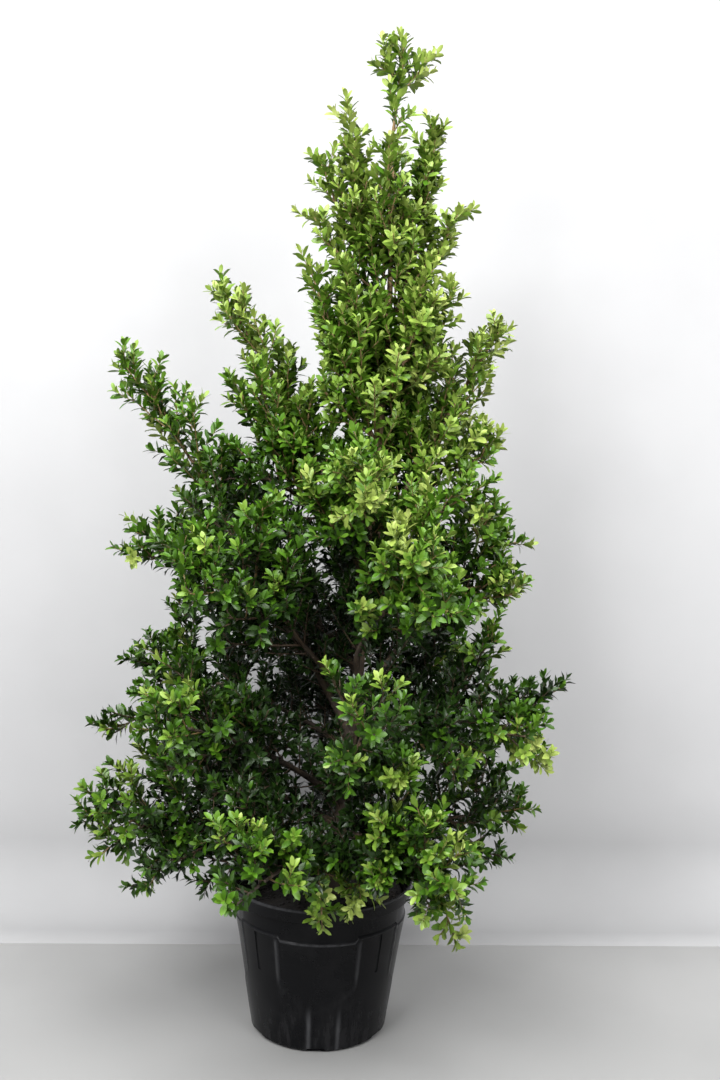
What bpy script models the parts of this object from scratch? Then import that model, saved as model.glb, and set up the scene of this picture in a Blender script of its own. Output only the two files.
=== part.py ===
"""Potted holly: an upright, small-leaved garden holly in a black nursery pot.

Lengths are metres and +Z is up. The pot stands on z = 0 with its axis on the origin,
and the side that a viewer faces is -Y. The trunk rises from the soil and keeps whole to
its tip. Boughs leave it in rings, each bough ends where its mass of foliage begins, and
each mass is one solid of stem, twigs and leaves that keeps to its own space.
"""
import math
import random
from typing import NamedTuple

import bmesh
import bpy
import numpy as np
from mathutils import Matrix, Vector
from mathutils.bvhtree import BVHTree

LIMB_SEED = 7
FOLIAGE_SEED = 1
GOLDEN_ANGLE = math.radians(137.5)
UP = Vector((0.0, 0.0, 1.0))
TOUCH = 0.0003              # gap between pieces that touch
CLOSEST_CORNERS = 2e-6      # a mass with corners nearer than this is grown again
MASS_ATTEMPTS = 6
FIRST_ATTEMPTS = {"middle_2": 1}     # masses whose first growths aren't used

# Pot: a thin-walled turned shell with a lip, a plain collar and a ribbed wall below it
POT_HEIGHT = 0.338
RIM_RADIUS = 0.205
RIM_BAND = 0.030            # height of the lip's outer band
LIP_THICKNESS = 0.006
COLLAR_RADIUS = 0.187       # wall under the lip
COLLAR_HEIGHT = 0.042
LEDGE = 0.003               # how far the ribbed wall stands proud of the collar
FOOT_RADIUS = 0.150
FOOT_CHAMFER = 0.006
WALL = 0.0035
FLOOR_THICKNESS = 0.014
POT_STEPS = 40
GROOVES = 4                 # midway between the front, the sides and the back
GROOVE_WIDTH = 0.008
GROOVE_DEPTH = 0.0022
GROOVE_LENGTH = 0.090
GROOVE_TOP = 0.004          # from the ledge down to a groove
NOTCHES = 6
NOTCH_WIDTH = 0.040
NOTCH_HEIGHT = 0.009
NOTCH_DEPTH = 0.010

# Soil
SOIL_TOP = 0.300
SOIL_CROWN = 0.006          # the soil is this much higher at the trunk
SOIL_FLAT = 0.060           # radius of that higher flat

# Trunk
TRUNK_FOOT = Vector((0.022, 0.0, 0.0))
TRUNK_TOP_Z = 1.930
TRUNK_LEAN = 0.092          # how far right the trunk has leant by its tip
TRUNK_SWAY = 0.010
TRUNK_FOOT_RADIUS = 0.0165
TRUNK_TIP_RADIUS = 0.0042
FLARE_RADIUS = 0.013        # added at the soil by the root flare
FLARE_HEIGHT = 0.035
TRUNK_SIDES = 10
TRUNK_STATIONS = 18

# Boughs
BOUGH_SIDES_RESOLUTION = 1  # six sides
BOUGH_STATIONS = 4
BOUGH_END = 0.010           # straight last length, in line with the stem that follows
BOUGH_SHARE = 0.24          # share of the limb's whole length that is bare bough
BOUGH_ROOT_RADIUS = 0.0095
BOUGH_TIP_RADIUS = 0.0055
STEM_TIP_RADIUS = 0.0025
STEM_STATIONS = 7
SWAY = 0.030                # sideways wander of a limb

# Foliage: each leaf stands for a spray of small ones, and a dense mass has a slim core
TWIG_ROOT_RADIUS = 0.0050
TWIG_TIP_RADIUS = 0.0034
TWIG_SPACING = 0.045
TWIG_SPAN = (0.04, 0.90)    # shares of the stem between which twigs leave it
TWIG_LENGTHS = (0.85, 1.08) # shares of the mass's outline that twigs reach
TWIG_LEAN_ROOT = math.radians(62.0)
TWIG_LEAN_TIP = math.radians(36.0)
TWIG_RISE = 0.22            # how much a twig turns upward from its lean
TWIG_SHORTEST = 0.025       # bare length of a twig up to the leaf at its tip
LEAF_LENGTH = 0.130
LEAF_WIDTH = 0.064
LEAF_THICKNESS = 0.0065
LEAF_WIDEST = 0.56          # share of its length at which a leaf is widest
LEAF_SINK = 0.002           # how far past a twig's axis a leaf's root is sunk
LEAF_LEAN = math.radians(44.0)
LEAF_RISE = 0.12            # how much a leaf turns upward from its lean
LEAF_FACE_UP = 0.35         # how much its face turns upward
TIP_SINK = 0.007            # how deep the leaf at a twig's tip is sunk in it
TIP_LEAF_SHARE = 0.80       # share of that leaf that counts in a twig's or stem's length
TIP_ROLL = (math.radians(12.0), math.radians(35.0))
LEAF_ROLL = math.radians(55.0)       # most that a leaf is rolled about its own midrib
CORE_SHARE = 0.40           # a core's radius as a share of its mass's spread
CORE_LUMPS = (0.75, 1.15)   # a core swells and narrows between these shares of its radius
CORE_MARGIN = 0.006
CORE_LEAF_DEPTH = 0.8       # where a leaf's root sits between core's middle and surface
CORE_LEAF_LEAN = math.radians(55.0)
STEM_LEAF_LEAN = math.radians(40.0)
CORE_LEAVES = 20            # tried straight on a core, between its twigs
LEAF_SPAN = (0.10, 0.94)    # shares of the stem between which leaves leave it
STEM_LEAVES_PER_METRE = 30  # tried on a stem with no core, for leaves of full size
CORE_TWIG_STEP = 1.7        # a dense mass's twigs are this much further apart
SPACE_MARGIN = 0.004        # between a mass and the edge of its space
SPACE_STATIONS = 9          # points along a stem that mark its space
BOUGH_BALLS = 25            # balls along a bough and the trunk that foliage keeps clear of
TRUNK_BALLS = 160
LIMB_CLEARANCE = 0.003
POT_CLEARANCE = 0.009
TWIG_SPOTS = (0.3, 0.65, 1.0)        # shares along a twig that are tested for room
TWIG_FREE_MIDDLE = 0.6      # middle of the twig's length that must be clear of limbs
TWIG_MOST_INSIDE = 0.7      # most of a twig's length that counts as inside a core
SIDE_LEAVES = 2             # on each side twig, besides the one at its tip
SIDE_LEAF_FIRST = 0.85      # where they leave the twig's free length, from the tip back
SIDE_LEAF_STEP = 0.7
TWIG_LEAF_SHARE = 0.80      # size of the leaves on a dense mass's twigs
LEAF_TURNS = 5              # places about a twig that are tried for each leaf


class Ring(NamedTuple):
    """One ring of limbs: angles in degrees from +X towards +Y, the rest in metres."""

    name: str
    count: int
    first_angle: float
    angle_step: float
    root_height: float      # where its first limb leaves the trunk
    root_step: float        # its limbs leave at heights this far apart, side by side far apart
    reach: float            # from the ring's centre to its tips
    centre_x: float
    tip_height: float
    bend: float             # under 1 the limb climbs first, over 1 it runs out first
    arch: float             # how far it bows upward at the middle
    spread: float           # longest side twig of its masses
    leaf_scale: float
    has_boughs: bool
    has_core: bool


RINGS = (
    Ring("skirt", 6, 195, 60, 0.375, 0.014, 0.515, -0.038, 0.490, 0.80, 0.02, 0.17, 1.00, True, True),
    Ring("lower", 6, 225, 60, 0.505, 0.022, 0.490, 0.010, 0.780, 0.95, 0.03, 0.17, 1.00, True, True),
    Ring("middle", 5, 8, 72, 0.690, 0.028, 0.430, -0.005, 1.070, 0.95, 0.04, 0.17, 0.95, True, True),
    Ring("upper", 4, 275, 90, 0.900, 0.035, 0.270, 0.040, 1.300, 1.00, 0.04, 0.15, 0.85, True, True),
    Ring("waist", 4, 45, 90, 1.260, 0.040, 0.120, 0.105, 1.690, 1.80, 0.00, 0.13, 0.70, False, False),
    Ring("column", 4, 0, 90, 1.560, 0.040, 0.095, 0.110, 1.960, 1.80, 0.00, 0.10, 0.62, False, False),
)
LONG_SHOOTS = (
    Ring("long_left", 1, 184, 0, 0.650, 0, 0.54, 0.09, 1.475, 1.00, 0.03, 0.11, 0.75, True, False),
    Ring("slim_left", 1, 166, 0, 1.060, 0, 0.33, 0.06, 1.635, 1.05, 0.02, 0.10, 0.70, True, False),
    Ring("long_right", 1, 3, 0, 1.075, 0, 0.275, 0.09, 1.560, 1.10, 0.01, 0.11, 0.75, True, False),
)
LEADER_ROOT = 0.002         # its stem starts this far down in the trunk and is cut there
LEADER_TIP = Vector((0.137, 0.0, 2.110))
LEADER_SWAY = 0.012
LEADER_SPREAD = 0.090
LEADER_LEAF_SCALE = 0.55


class Colour(NamedTuple):
    """A surface's colour and finish."""

    rgb: tuple
    roughness: float


POT_BLACK = Colour((0.012, 0.012, 0.013), 0.42)
SOIL_BROWN = Colour((0.030, 0.020, 0.014), 0.95)
BARK = Colour((0.115, 0.085, 0.060), 0.85)
LEAF_GREENS = (
    Colour((0.020, 0.075, 0.014), 0.45),
    Colour((0.040, 0.130, 0.018), 0.45),
    Colour((0.105, 0.240, 0.030), 0.45),
)


class Limb(NamedTuple):
    """A bough and the stem of its mass on one line, by share s from 0 to 1."""

    name: str
    root: Vector
    tip: Vector
    bend: float
    arch: float
    sway: float
    spread: float
    stem_start: float       # share at which the bare bough ends and the mass begins
    leaf_scale: float
    has_core: bool

    def point(self, s):
        """The place on the limb's line at share s of its way out."""
        run = self.tip - self.root
        rise = run.z
        run.z = 0.0
        side = run.cross(UP)
        side = side.normalized() if side.length > 1e-6 else Vector((1.0, 0.0, 0.0))
        climb = rise * s ** self.bend + self.arch * math.sin(math.pi * s)
        wander = self.sway * math.sin(2.2 * math.pi * s) * (1.0 - s)
        return self.root + run * s + UP * climb + side * wander

    def direction(self, s):
        """The limb's heading at share s."""
        step = 0.01
        low = max(0.0, s - step)
        high = min(1.0, s + step)
        return (self.point(high) - self.point(low)).normalized()

    def line(self, start, end, stations):
        """Evenly shared points from share start to share end."""
        return [self.point(start + (end - start) * i / (stations - 1)) for i in range(stations)]

    def stem_line(self):
        """The stem's points and the heading of its first length, which squares its end."""
        points = self.line(self.stem_start, 1.0, STEM_STATIONS)
        return points, (points[1] - points[0]).normalized()


def clear_scene():
    """Remove what a new file holds."""
    for obj in list(bpy.data.objects):
        bpy.data.objects.remove(obj, do_unlink=True)


def new_collection(name):
    """A collection under the scene's own."""
    collection = bpy.data.collections.new(name)
    bpy.context.scene.collection.children.link(collection)
    return collection


def principled(name, colour):
    """A material with the part's colour and roughness."""
    material = bpy.data.materials.new(name)
    material.use_nodes = True
    shader = material.node_tree.nodes["Principled BSDF"]
    shader.inputs["Base Color"].default_value = (*colour.rgb, 1.0)
    shader.inputs["Roughness"].default_value = colour.roughness
    shader.inputs["Metallic"].default_value = 0.0
    return material


def add_object(name, mesh, collection, material=None):
    """Link a mesh as a named object."""
    obj = bpy.data.objects.new(name, mesh)
    collection.objects.link(obj)
    if material:
        mesh.materials.clear()
        mesh.materials.append(material)
    return obj


def evaluated_mesh(obj):
    """A new mesh of the object as its modifiers leave it."""
    bpy.context.view_layer.update()
    depsgraph = bpy.context.evaluated_depsgraph_get()
    return bpy.data.meshes.new_from_object(obj.evaluated_get(depsgraph), depsgraph=depsgraph)


def tube(name, points, radii, collection, resolution):
    """A tapering solid tube through points, made a closed mesh with its caps welded."""
    curve = bpy.data.curves.new(name, "CURVE")
    curve.dimensions = "3D"
    curve.bevel_depth = 1.0
    curve.bevel_resolution = resolution
    curve.use_fill_caps = True
    curve.twist_mode = "MINIMUM"
    spline = curve.splines.new("POLY")
    spline.points.add(len(points) - 1)
    for point, place, radius in zip(spline.points, points, radii):
        point.co = (*place, 1.0)
        point.radius = radius
    drawn = bpy.data.objects.new(name + "_curve", curve)
    collection.objects.link(drawn)
    mesh = evaluated_mesh(drawn)
    bpy.data.objects.remove(drawn, do_unlink=True)
    shape = bmesh.new()
    shape.from_mesh(mesh)
    bmesh.ops.remove_doubles(shape, verts=shape.verts, dist=1e-6)
    bmesh.ops.recalc_face_normals(shape, faces=shape.faces)
    shape.to_mesh(mesh)
    shape.free()
    return add_object(name, mesh, collection)


def join_by_boolean(obj, operation, operands=None, cutter=None, solver="EXACT"):
    """Apply one Boolean: with every object of a collection, or with one cutter."""
    modifier = obj.modifiers.new("join", "BOOLEAN")
    modifier.operation = operation
    modifier.solver = solver
    if operands is not None:
        modifier.operand_type = "COLLECTION"
        modifier.collection = operands
    else:
        modifier.object = cutter
    joined = evaluated_mesh(obj)
    obj.modifiers.clear()
    obj.data = joined


def keep_main_body(obj):
    """Drop loose scraps and the shells of sealed hollows, which fills the hollows."""
    shape = bmesh.new()
    shape.from_mesh(obj.data)
    shape.verts.ensure_lookup_table()
    seen = set()
    bodies = []
    for start in shape.verts:
        if start in seen:
            continue
        body = [start]
        seen.add(start)
        for vert in body:
            for edge in vert.link_edges:
                other = edge.other_vert(vert)
                if other not in seen:
                    seen.add(other)
                    body.append(other)
        bodies.append(body)
    bodies.sort(key=len)
    scraps = [vert for body in bodies[:-1] for vert in body]
    bmesh.ops.delete(shape, geom=scraps, context="VERTS")
    shape.to_mesh(obj.data)
    shape.free()


def closes_cleanly(obj):
    """Cut the faces into triangles and tell whether every edge still joins just two."""
    shape = bmesh.new()
    shape.from_mesh(obj.data)
    bmesh.ops.triangulate(shape, faces=shape.faces)
    pairs = bmesh.ops.find_doubles(shape, verts=shape.verts, dist=CLOSEST_CORNERS)["targetmap"]
    clean = not pairs and all(len(edge.link_faces) == 2 for edge in shape.edges)
    shape.to_mesh(obj.data)
    shape.free()
    return clean


def remove_collection(collection):
    """Remove a working collection with its objects."""
    for obj in list(collection.objects):
        bpy.data.objects.remove(obj, do_unlink=True)
    bpy.data.collections.remove(collection)


# Pot and soil

def wall_radius(z):
    """Outer radius of the ribbed wall at height z."""
    top = COLLAR_RADIUS + LEDGE
    return FOOT_RADIUS + (top - FOOT_RADIUS) * z / ledge_height()


def ledge_height():
    """Height of the ledge where the ribbed wall meets the plain collar."""
    return POT_HEIGHT - RIM_BAND - COLLAR_HEIGHT


def pot_outline():
    """The pot's half section from the lip down its outer side and up its inner side."""
    ledge = ledge_height()
    under_lip = POT_HEIGHT - RIM_BAND
    inner_foot = wall_radius(FLOOR_THICKNESS) - WALL
    inner_top = COLLAR_RADIUS - WALL
    return [
        (RIM_RADIUS - 0.003, POT_HEIGHT),
        (RIM_RADIUS, POT_HEIGHT - 0.003),
        (RIM_RADIUS - 0.003, under_lip),
        (COLLAR_RADIUS + 0.0015, under_lip + 0.001),
        (COLLAR_RADIUS - 0.001, ledge + 0.004),
        (COLLAR_RADIUS + LEDGE, ledge),
        (FOOT_RADIUS + 0.001, FOOT_CHAMFER),
        (FOOT_RADIUS - FOOT_CHAMFER, 0.0),
        (0.0, 0.0),
        (0.0, FLOOR_THICKNESS),
        (inner_foot, FLOOR_THICKNESS),
        (inner_top, under_lip),
        (RIM_RADIUS - LIP_THICKNESS - 0.004, POT_HEIGHT - 0.008),
        (RIM_RADIUS - LIP_THICKNESS, POT_HEIGHT),
    ]


def turned(name, outline, collection, steps):
    """Turn an outline, given from the top down its outer side, about the Z axis."""
    shape = bmesh.new()
    verts = [shape.verts.new((radius, 0.0, z)) for radius, z in outline]
    closed = verts + [verts[0]]
    for start, end in zip(closed, closed[1:]):
        if start.co.x > 0.0 or end.co.x > 0.0:
            shape.edges.new((start, end))
    mesh = bpy.data.meshes.new(name)
    shape.to_mesh(mesh)
    shape.free()
    obj = add_object(name, mesh, collection)
    screw = obj.modifiers.new("turn", "SCREW")
    screw.steps = steps
    screw.render_steps = steps
    screw.use_merge_vertices = True
    screw.merge_threshold = 0.0001
    screw.use_normal_calculate = False
    obj.data = evaluated_mesh(obj)
    obj.modifiers.clear()
    return obj


def block(size, place, turn, collection):
    """A box for cutting: its size, its centre and its turn about Z."""
    shape = bmesh.new()
    bmesh.ops.create_cube(shape, size=1.0)
    matrix = Matrix.Rotation(turn, 4, "Z") @ Matrix.Translation(place) @ Matrix.Diagonal((*size, 1.0))
    bmesh.ops.transform(shape, matrix=matrix, verts=shape.verts)
    mesh = bpy.data.meshes.new("cutter")
    shape.to_mesh(mesh)
    shape.free()
    obj = add_object("cutter", mesh, collection)
    obj.hide_render = True
    obj.display_type = "WIRE"
    return obj


def make_pot(collection):
    """The pot: a turned shell with grooves down its wall and notches in its foot."""
    pot = turned("pot", pot_outline(), collection, POT_STEPS)
    cutters = new_collection("pot_cutters")
    front = -math.pi / 2.0
    ledge = ledge_height()
    slope = math.atan2(wall_radius(ledge) - FOOT_RADIUS, ledge)
    for i in range(GROOVES):
        turn = front + (i + 0.5) * math.tau / GROOVES
        middle = ledge - 0.5 * GROOVE_LENGTH - GROOVE_TOP
        size = (2.0 * GROOVE_DEPTH, GROOVE_WIDTH, GROOVE_LENGTH)
        cutter = block(size, (0.0, 0.0, 0.0), 0.0, cutters)
        lean = Matrix.Rotation(slope, 4, "Y")
        place = Matrix.Translation((wall_radius(middle), 0.0, middle))
        cutter.data.transform(Matrix.Rotation(turn, 4, "Z") @ place @ lean)
    for i in range(NOTCHES):
        turn = front + i * math.tau / NOTCHES
        size = (2.0 * NOTCH_DEPTH, NOTCH_WIDTH, 2.0 * NOTCH_HEIGHT)
        block(size, (FOOT_RADIUS, 0.0, 0.0), turn, cutters)
    join_by_boolean(pot, "DIFFERENCE", operands=cutters)
    remove_collection(cutters)
    keep_main_body(pot)
    pot.data.materials.clear()
    pot.data.materials.append(principled("pot_black", POT_BLACK))
    return pot


def make_soil(collection):
    """The soil: a plug that fills the pot to a few centimetres under its lip."""
    inner_foot = wall_radius(FLOOR_THICKNESS) - WALL
    inner_top = COLLAR_RADIUS - WALL
    floor = FLOOR_THICKNESS + TOUCH
    share = (SOIL_TOP - FLOOR_THICKNESS) / (POT_HEIGHT - RIM_BAND - FLOOR_THICKNESS)
    edge = inner_foot + (inner_top - inner_foot) * share - TOUCH
    outline = [
        (0.0, SOIL_TOP + SOIL_CROWN),
        (SOIL_FLAT, SOIL_TOP + SOIL_CROWN),
        (edge, SOIL_TOP),
        (inner_foot - TOUCH, floor),
        (0.0, floor),
    ]
    soil = turned("soil", outline, collection, POT_STEPS)
    keep_main_body(soil)
    soil.data.materials.append(principled("soil_brown", SOIL_BROWN))
    return soil


# Trunk and limbs

def trunk_base_z():
    """Height of the flat cut under the trunk, where it meets the soil."""
    return SOIL_TOP + SOIL_CROWN + TOUCH


def trunk_point(z):
    """The trunk's axis at height z: a lean that eases off, with a slight sway."""
    share = (z - trunk_base_z()) / (TRUNK_TOP_Z - trunk_base_z())
    lean = TRUNK_LEAN * math.sin(0.5 * math.pi * min(1.0, share * 1.15))
    sway = TRUNK_SWAY * math.sin(3.0 * math.pi * share)
    return Vector((TRUNK_FOOT.x + lean + 0.5 * sway, TRUNK_FOOT.y + sway, z))


def trunk_radius(z):
    """The trunk's radius at height z: an even taper with a flare at the soil."""
    height = z - trunk_base_z()
    share = height / (TRUNK_TOP_Z - trunk_base_z())
    taper = TRUNK_FOOT_RADIUS + (TRUNK_TIP_RADIUS - TRUNK_FOOT_RADIUS) * share ** 0.85
    return taper + FLARE_RADIUS * math.exp(-height / FLARE_HEIGHT)


def trunk_line(clearance=0.0):
    """Points and radii along the trunk, closer together at the flare."""
    base = trunk_base_z()
    first = 0.004
    points = [trunk_point(base)]
    radii = [trunk_radius(base) + clearance]
    for i in range(TRUNK_STATIONS):
        share = i / (TRUNK_STATIONS - 1)
        z = base + first + (TRUNK_TOP_Z - base - first) * share ** 1.6
        points.append(trunk_point(z))
        radii.append(trunk_radius(z) + clearance)
    points[1].xy = points[0].xy
    points[-1] += (points[-1] - points[-2]).normalized() * clearance
    return points, radii


def make_trunk(collection):
    """The trunk, whole from its flat cut at the soil to its tip."""
    points, radii = trunk_line()
    trunk = tube("trunk", points, radii, collection, (TRUNK_SIDES - 4) // 2)
    trunk.data.materials.append(principled("bark_trunk", BARK))
    return trunk


def limb_from(ring, index, rng):
    """One limb of a ring, from the trunk's axis to its tip."""
    angle = math.radians(ring.first_angle + index * ring.angle_step + rng.uniform(-6.0, 6.0))
    reach = ring.reach * rng.uniform(0.94, 1.04)
    if ring.count == 1:
        angle = math.radians(ring.first_angle)
        reach = ring.reach
    tip_height = ring.tip_height + ring.count * 0.008 * rng.uniform(-1.0, 1.0)
    rank = 2 * index % ring.count + 2 * index // ring.count * (1 - ring.count % 2)
    root = trunk_point(ring.root_height + rank * ring.root_step)
    tip = Vector((ring.centre_x, 0.0, tip_height))
    tip += Vector((math.cos(angle), math.sin(angle), 0.0)) * reach
    name = ring.name if ring.count == 1 else f"{ring.name}_{index + 1}"
    start = BOUGH_SHARE if ring.has_boughs else 0.0
    sway = SWAY * rng.uniform(-1.0, 1.0) if ring.has_boughs else 0.0
    return Limb(name, root, tip, ring.bend, ring.arch, sway, ring.spread, start,
                ring.leaf_scale, ring.has_core)


def plan_limbs():
    """Every limb, ring by ring, then the long shoots, then the leader."""
    rng = random.Random(LIMB_SEED)
    limbs = []
    bare = set()
    for ring in RINGS + LONG_SHOOTS:
        for index in range(ring.count):
            limb = limb_from(ring, index, rng)
            limbs.append(limb)
            if ring.has_boughs:
                bare.add(limb.name)
    root = trunk_point(TRUNK_TOP_Z) - UP * LEADER_ROOT
    limbs.append(Limb("leader", root, LEADER_TIP, 1.0, 0.0, LEADER_SWAY, LEADER_SPREAD, 0.0,
                      LEADER_LEAF_SCALE, False))
    return limbs, bare


def bough_radius(limb, share):
    """A bough's radius at a share of its own length."""
    root = min(BOUGH_ROOT_RADIUS, 0.72 * trunk_radius(limb.root.z))
    return root + (BOUGH_TIP_RADIUS - root) * share


def make_bough(limb, trunk_cutter, collection):
    """One tapering bough, its root cut to sit 0.3 mm off the trunk."""
    points = limb.line(0.0, limb.stem_start, BOUGH_STATIONS)
    radii = [bough_radius(limb, i / (BOUGH_STATIONS - 1)) for i in range(BOUGH_STATIONS)]
    _, heading = limb.stem_line()
    points.insert(-1, points[-1] - heading * BOUGH_END)
    radii.insert(-1, BOUGH_TIP_RADIUS)
    bough = tube("bough_" + limb.name, points, radii, collection, BOUGH_SIDES_RESOLUTION)
    join_by_boolean(bough, "DIFFERENCE", cutter=trunk_cutter)
    keep_main_body(bough)
    bough.data.materials.clear()
    bough.data.materials.append(principled("bark_" + limb.name, BARK))
    return bough


# Space: each mass keeps to the places that lie nearest its own stem

def segment_distances(points, line):
    """Distance from each point to a line of joined segments, as numpy arrays."""
    starts = line[:-1]
    runs = line[1:] - starts
    lengths = np.maximum((runs ** 2).sum(1), 1e-12)
    offsets = points[:, None, :] - starts[None, :, :]
    shares = np.clip((offsets * runs[None, :, :]).sum(2) / lengths, 0.0, 1.0)
    gaps = offsets - shares[:, :, None] * runs[None, :, :]
    return np.sqrt((gaps ** 2).sum(2)).min(1)


class Space:
    """What a twig or leaf may fill: its mass's own space, clear of limbs and pot."""

    def __init__(self, limbs, bare):
        self.stems = {limb.name: np.array(limb.line(limb.stem_start, 1.0, SPACE_STATIONS))
                      for limb in limbs}
        balls = []
        for limb in limbs:
            if limb.name in bare:
                for i, place in enumerate(limb.line(0.0, limb.stem_start, BOUGH_BALLS)):
                    balls.append((*place, bough_radius(limb, i / (BOUGH_BALLS - 1))))
        for i in range(TRUNK_BALLS):
            z = trunk_base_z() + (TRUNK_TOP_Z - trunk_base_z()) * i / (TRUNK_BALLS - 1)
            balls.append((*trunk_point(z), trunk_radius(z)))
        balls = np.array(balls)
        self.limb_places = balls[:, :3]
        self.limb_radii = balls[:, 3]

    def holds(self, name, points):
        """Whether all the points lie nearest the named mass's own stem, off the pot."""
        own = segment_distances(points, self.stems[name])
        for other, line in self.stems.items():
            if other != name and (segment_distances(points, line) < own + SPACE_MARGIN).any():
                return False
        out = np.hypot(points[:, 0], points[:, 1])
        low = points[:, 2] < POT_HEIGHT + POT_CLEARANCE
        return not ((out < RIM_RADIUS + POT_CLEARANCE) & low).any()

    def room(self, name, place):
        """How far a core may reach from a place on its stem."""
        point = np.array([place])
        others = [segment_distances(point, line)[0] for other, line in self.stems.items()
                  if other != name]
        to_limbs = np.sqrt(((self.limb_places - point) ** 2).sum(1)) - self.limb_radii
        beyond_rim = max(0.0, math.hypot(place.x, place.y) - RIM_RADIUS)
        to_pot = math.hypot(beyond_rim, place.z - POT_HEIGHT)
        return min(0.5 * min(others), to_limbs.min(), to_pot) - CORE_MARGIN

    def clear_of_limbs(self, matrix, half_size):
        """Whether a box, given by its matrix and half sizes, is clear of every limb."""
        inverse = np.array(matrix.inverted())
        local = self.limb_places @ inverse[:3, :3].T + inverse[:3, 3]
        outside = np.maximum(np.abs(local) - np.array(half_size), 0.0)
        return bool((np.sqrt((outside ** 2).sum(1)) > self.limb_radii + LIMB_CLEARANCE).all())


# Foliage

def heading_matrix(place, heading, face):
    """A frame with X along heading and Z as near as can be to face."""
    x = heading.normalized()
    y = face.cross(x)
    if y.length < 1e-4:
        y = x.orthogonal()
    y.normalize()
    z = x.cross(y)
    matrix = Matrix((x, y, z)).transposed().to_4x4()
    matrix.translation = place
    return matrix


def around(axis, turn):
    """A direction square to the axis, turned about it from the most upward one."""
    side = axis.cross(UP)
    if side.length < 1e-3:
        side = Vector((1.0, 0.0, 0.0))
    side.normalize()
    lift = side.cross(axis)
    return side * math.cos(turn) + lift * math.sin(turn)


def plume(t):
    """A mass's outline: the reach of a side twig at share t along the stem."""
    return (1.0 - t) ** 0.55 * (0.75 + 0.9 * t)


def twig_plan(limb, rng):
    """Side twigs of a mass, turned by the golden angle: share, root, heading, length."""
    stem_length = (limb.point(1.0) - limb.point(limb.stem_start)).length
    spacing = TWIG_SPACING * (CORE_TWIG_STEP if limb.has_core else 1.0)
    count = max(4, round(stem_length / spacing))
    first_turn = rng.uniform(0.0, math.tau)
    for i in range(count):
        t = TWIG_SPAN[0] + (TWIG_SPAN[1] - TWIG_SPAN[0]) * (i + 0.5) / count
        s = limb.stem_start + (1.0 - limb.stem_start) * t
        axis = limb.direction(s)
        outward = around(axis, first_turn + i * GOLDEN_ANGLE)
        lean = TWIG_LEAN_ROOT + (TWIG_LEAN_TIP - TWIG_LEAN_ROOT) * t
        heading = axis * math.cos(lean) + outward * math.sin(lean) + UP * TWIG_RISE
        length = limb.spread * plume(t) * rng.uniform(*TWIG_LENGTHS)
        yield t, limb.point(s), heading.normalized(), length


def leaf_mesh():
    """A leaf as a low pyramid on a kite, its root at the origin, out along X."""
    shape = bmesh.new()
    bmesh.ops.create_cone(shape, cap_ends=True, segments=4, radius1=0.5, radius2=0.0, depth=1.0)
    for vert in shape.verts:
        x, y, z = vert.co
        along = LEAF_WIDEST if abs(x) < 0.1 else x + 0.5
        vert.co = (along * LEAF_LENGTH, y * LEAF_WIDTH, (z + 0.5) * LEAF_THICKNESS)
    mesh = bpy.data.meshes.new("leaf")
    shape.to_mesh(mesh)
    shape.free()
    return mesh


def leaf_samples():
    """Points over a leaf in its own frame."""
    samples = []
    for x, width in ((0.0, 0.0), (0.3, 0.55), (0.56, 1.0), (0.8, 0.5), (1.0, 0.0)):
        for y in (-0.5, 0.0, 0.5):
            samples.append((x * LEAF_LENGTH, y * width * LEAF_WIDTH, 0.0))
    return np.array(samples)


def cone_between(name, start, end, radii, collection):
    """A three-sided tapering twig from start to end."""
    run = end - start
    shape = bmesh.new()
    bmesh.ops.create_cone(shape, cap_ends=True, segments=3, radius1=radii[0],
                          radius2=radii[1], depth=run.length)
    matrix = run.to_track_quat("Z", "Y").to_matrix().to_4x4()
    matrix.translation = (start + end) * 0.5
    bmesh.ops.transform(shape, matrix=matrix, verts=shape.verts)
    mesh = bpy.data.meshes.new(name)
    shape.to_mesh(mesh)
    shape.free()
    return add_object(name, mesh, collection)


def leaf_at(place, axis, turn, lean):
    """The frame of a leaf that leaves an axis at a turn about it and a lean from it."""
    out = axis * math.cos(lean) + around(axis, turn) * math.sin(lean) + UP * LEAF_RISE
    out.normalize()
    face = axis - out * axis.dot(out) + UP * LEAF_FACE_UP
    return heading_matrix(place - out * LEAF_SINK, out, face)


def tip_leaf(end, heading, roll):
    """The frame of the leaf that carries on from a twig's end."""
    face = UP - heading * heading.z + Vector((0.01, 0.0, 0.02))
    level = heading_matrix(end - heading * TIP_SINK, heading, face)
    return level @ Matrix.Rotation(roll, 4, "X")


def surface(mesh, matrix):
    """A mesh's faces in place, for telling what crosses them."""
    places = [matrix @ vert.co for vert in mesh.vertices]
    return BVHTree.FromPolygons(places, [face.vertices[:] for face in mesh.polygons])


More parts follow.
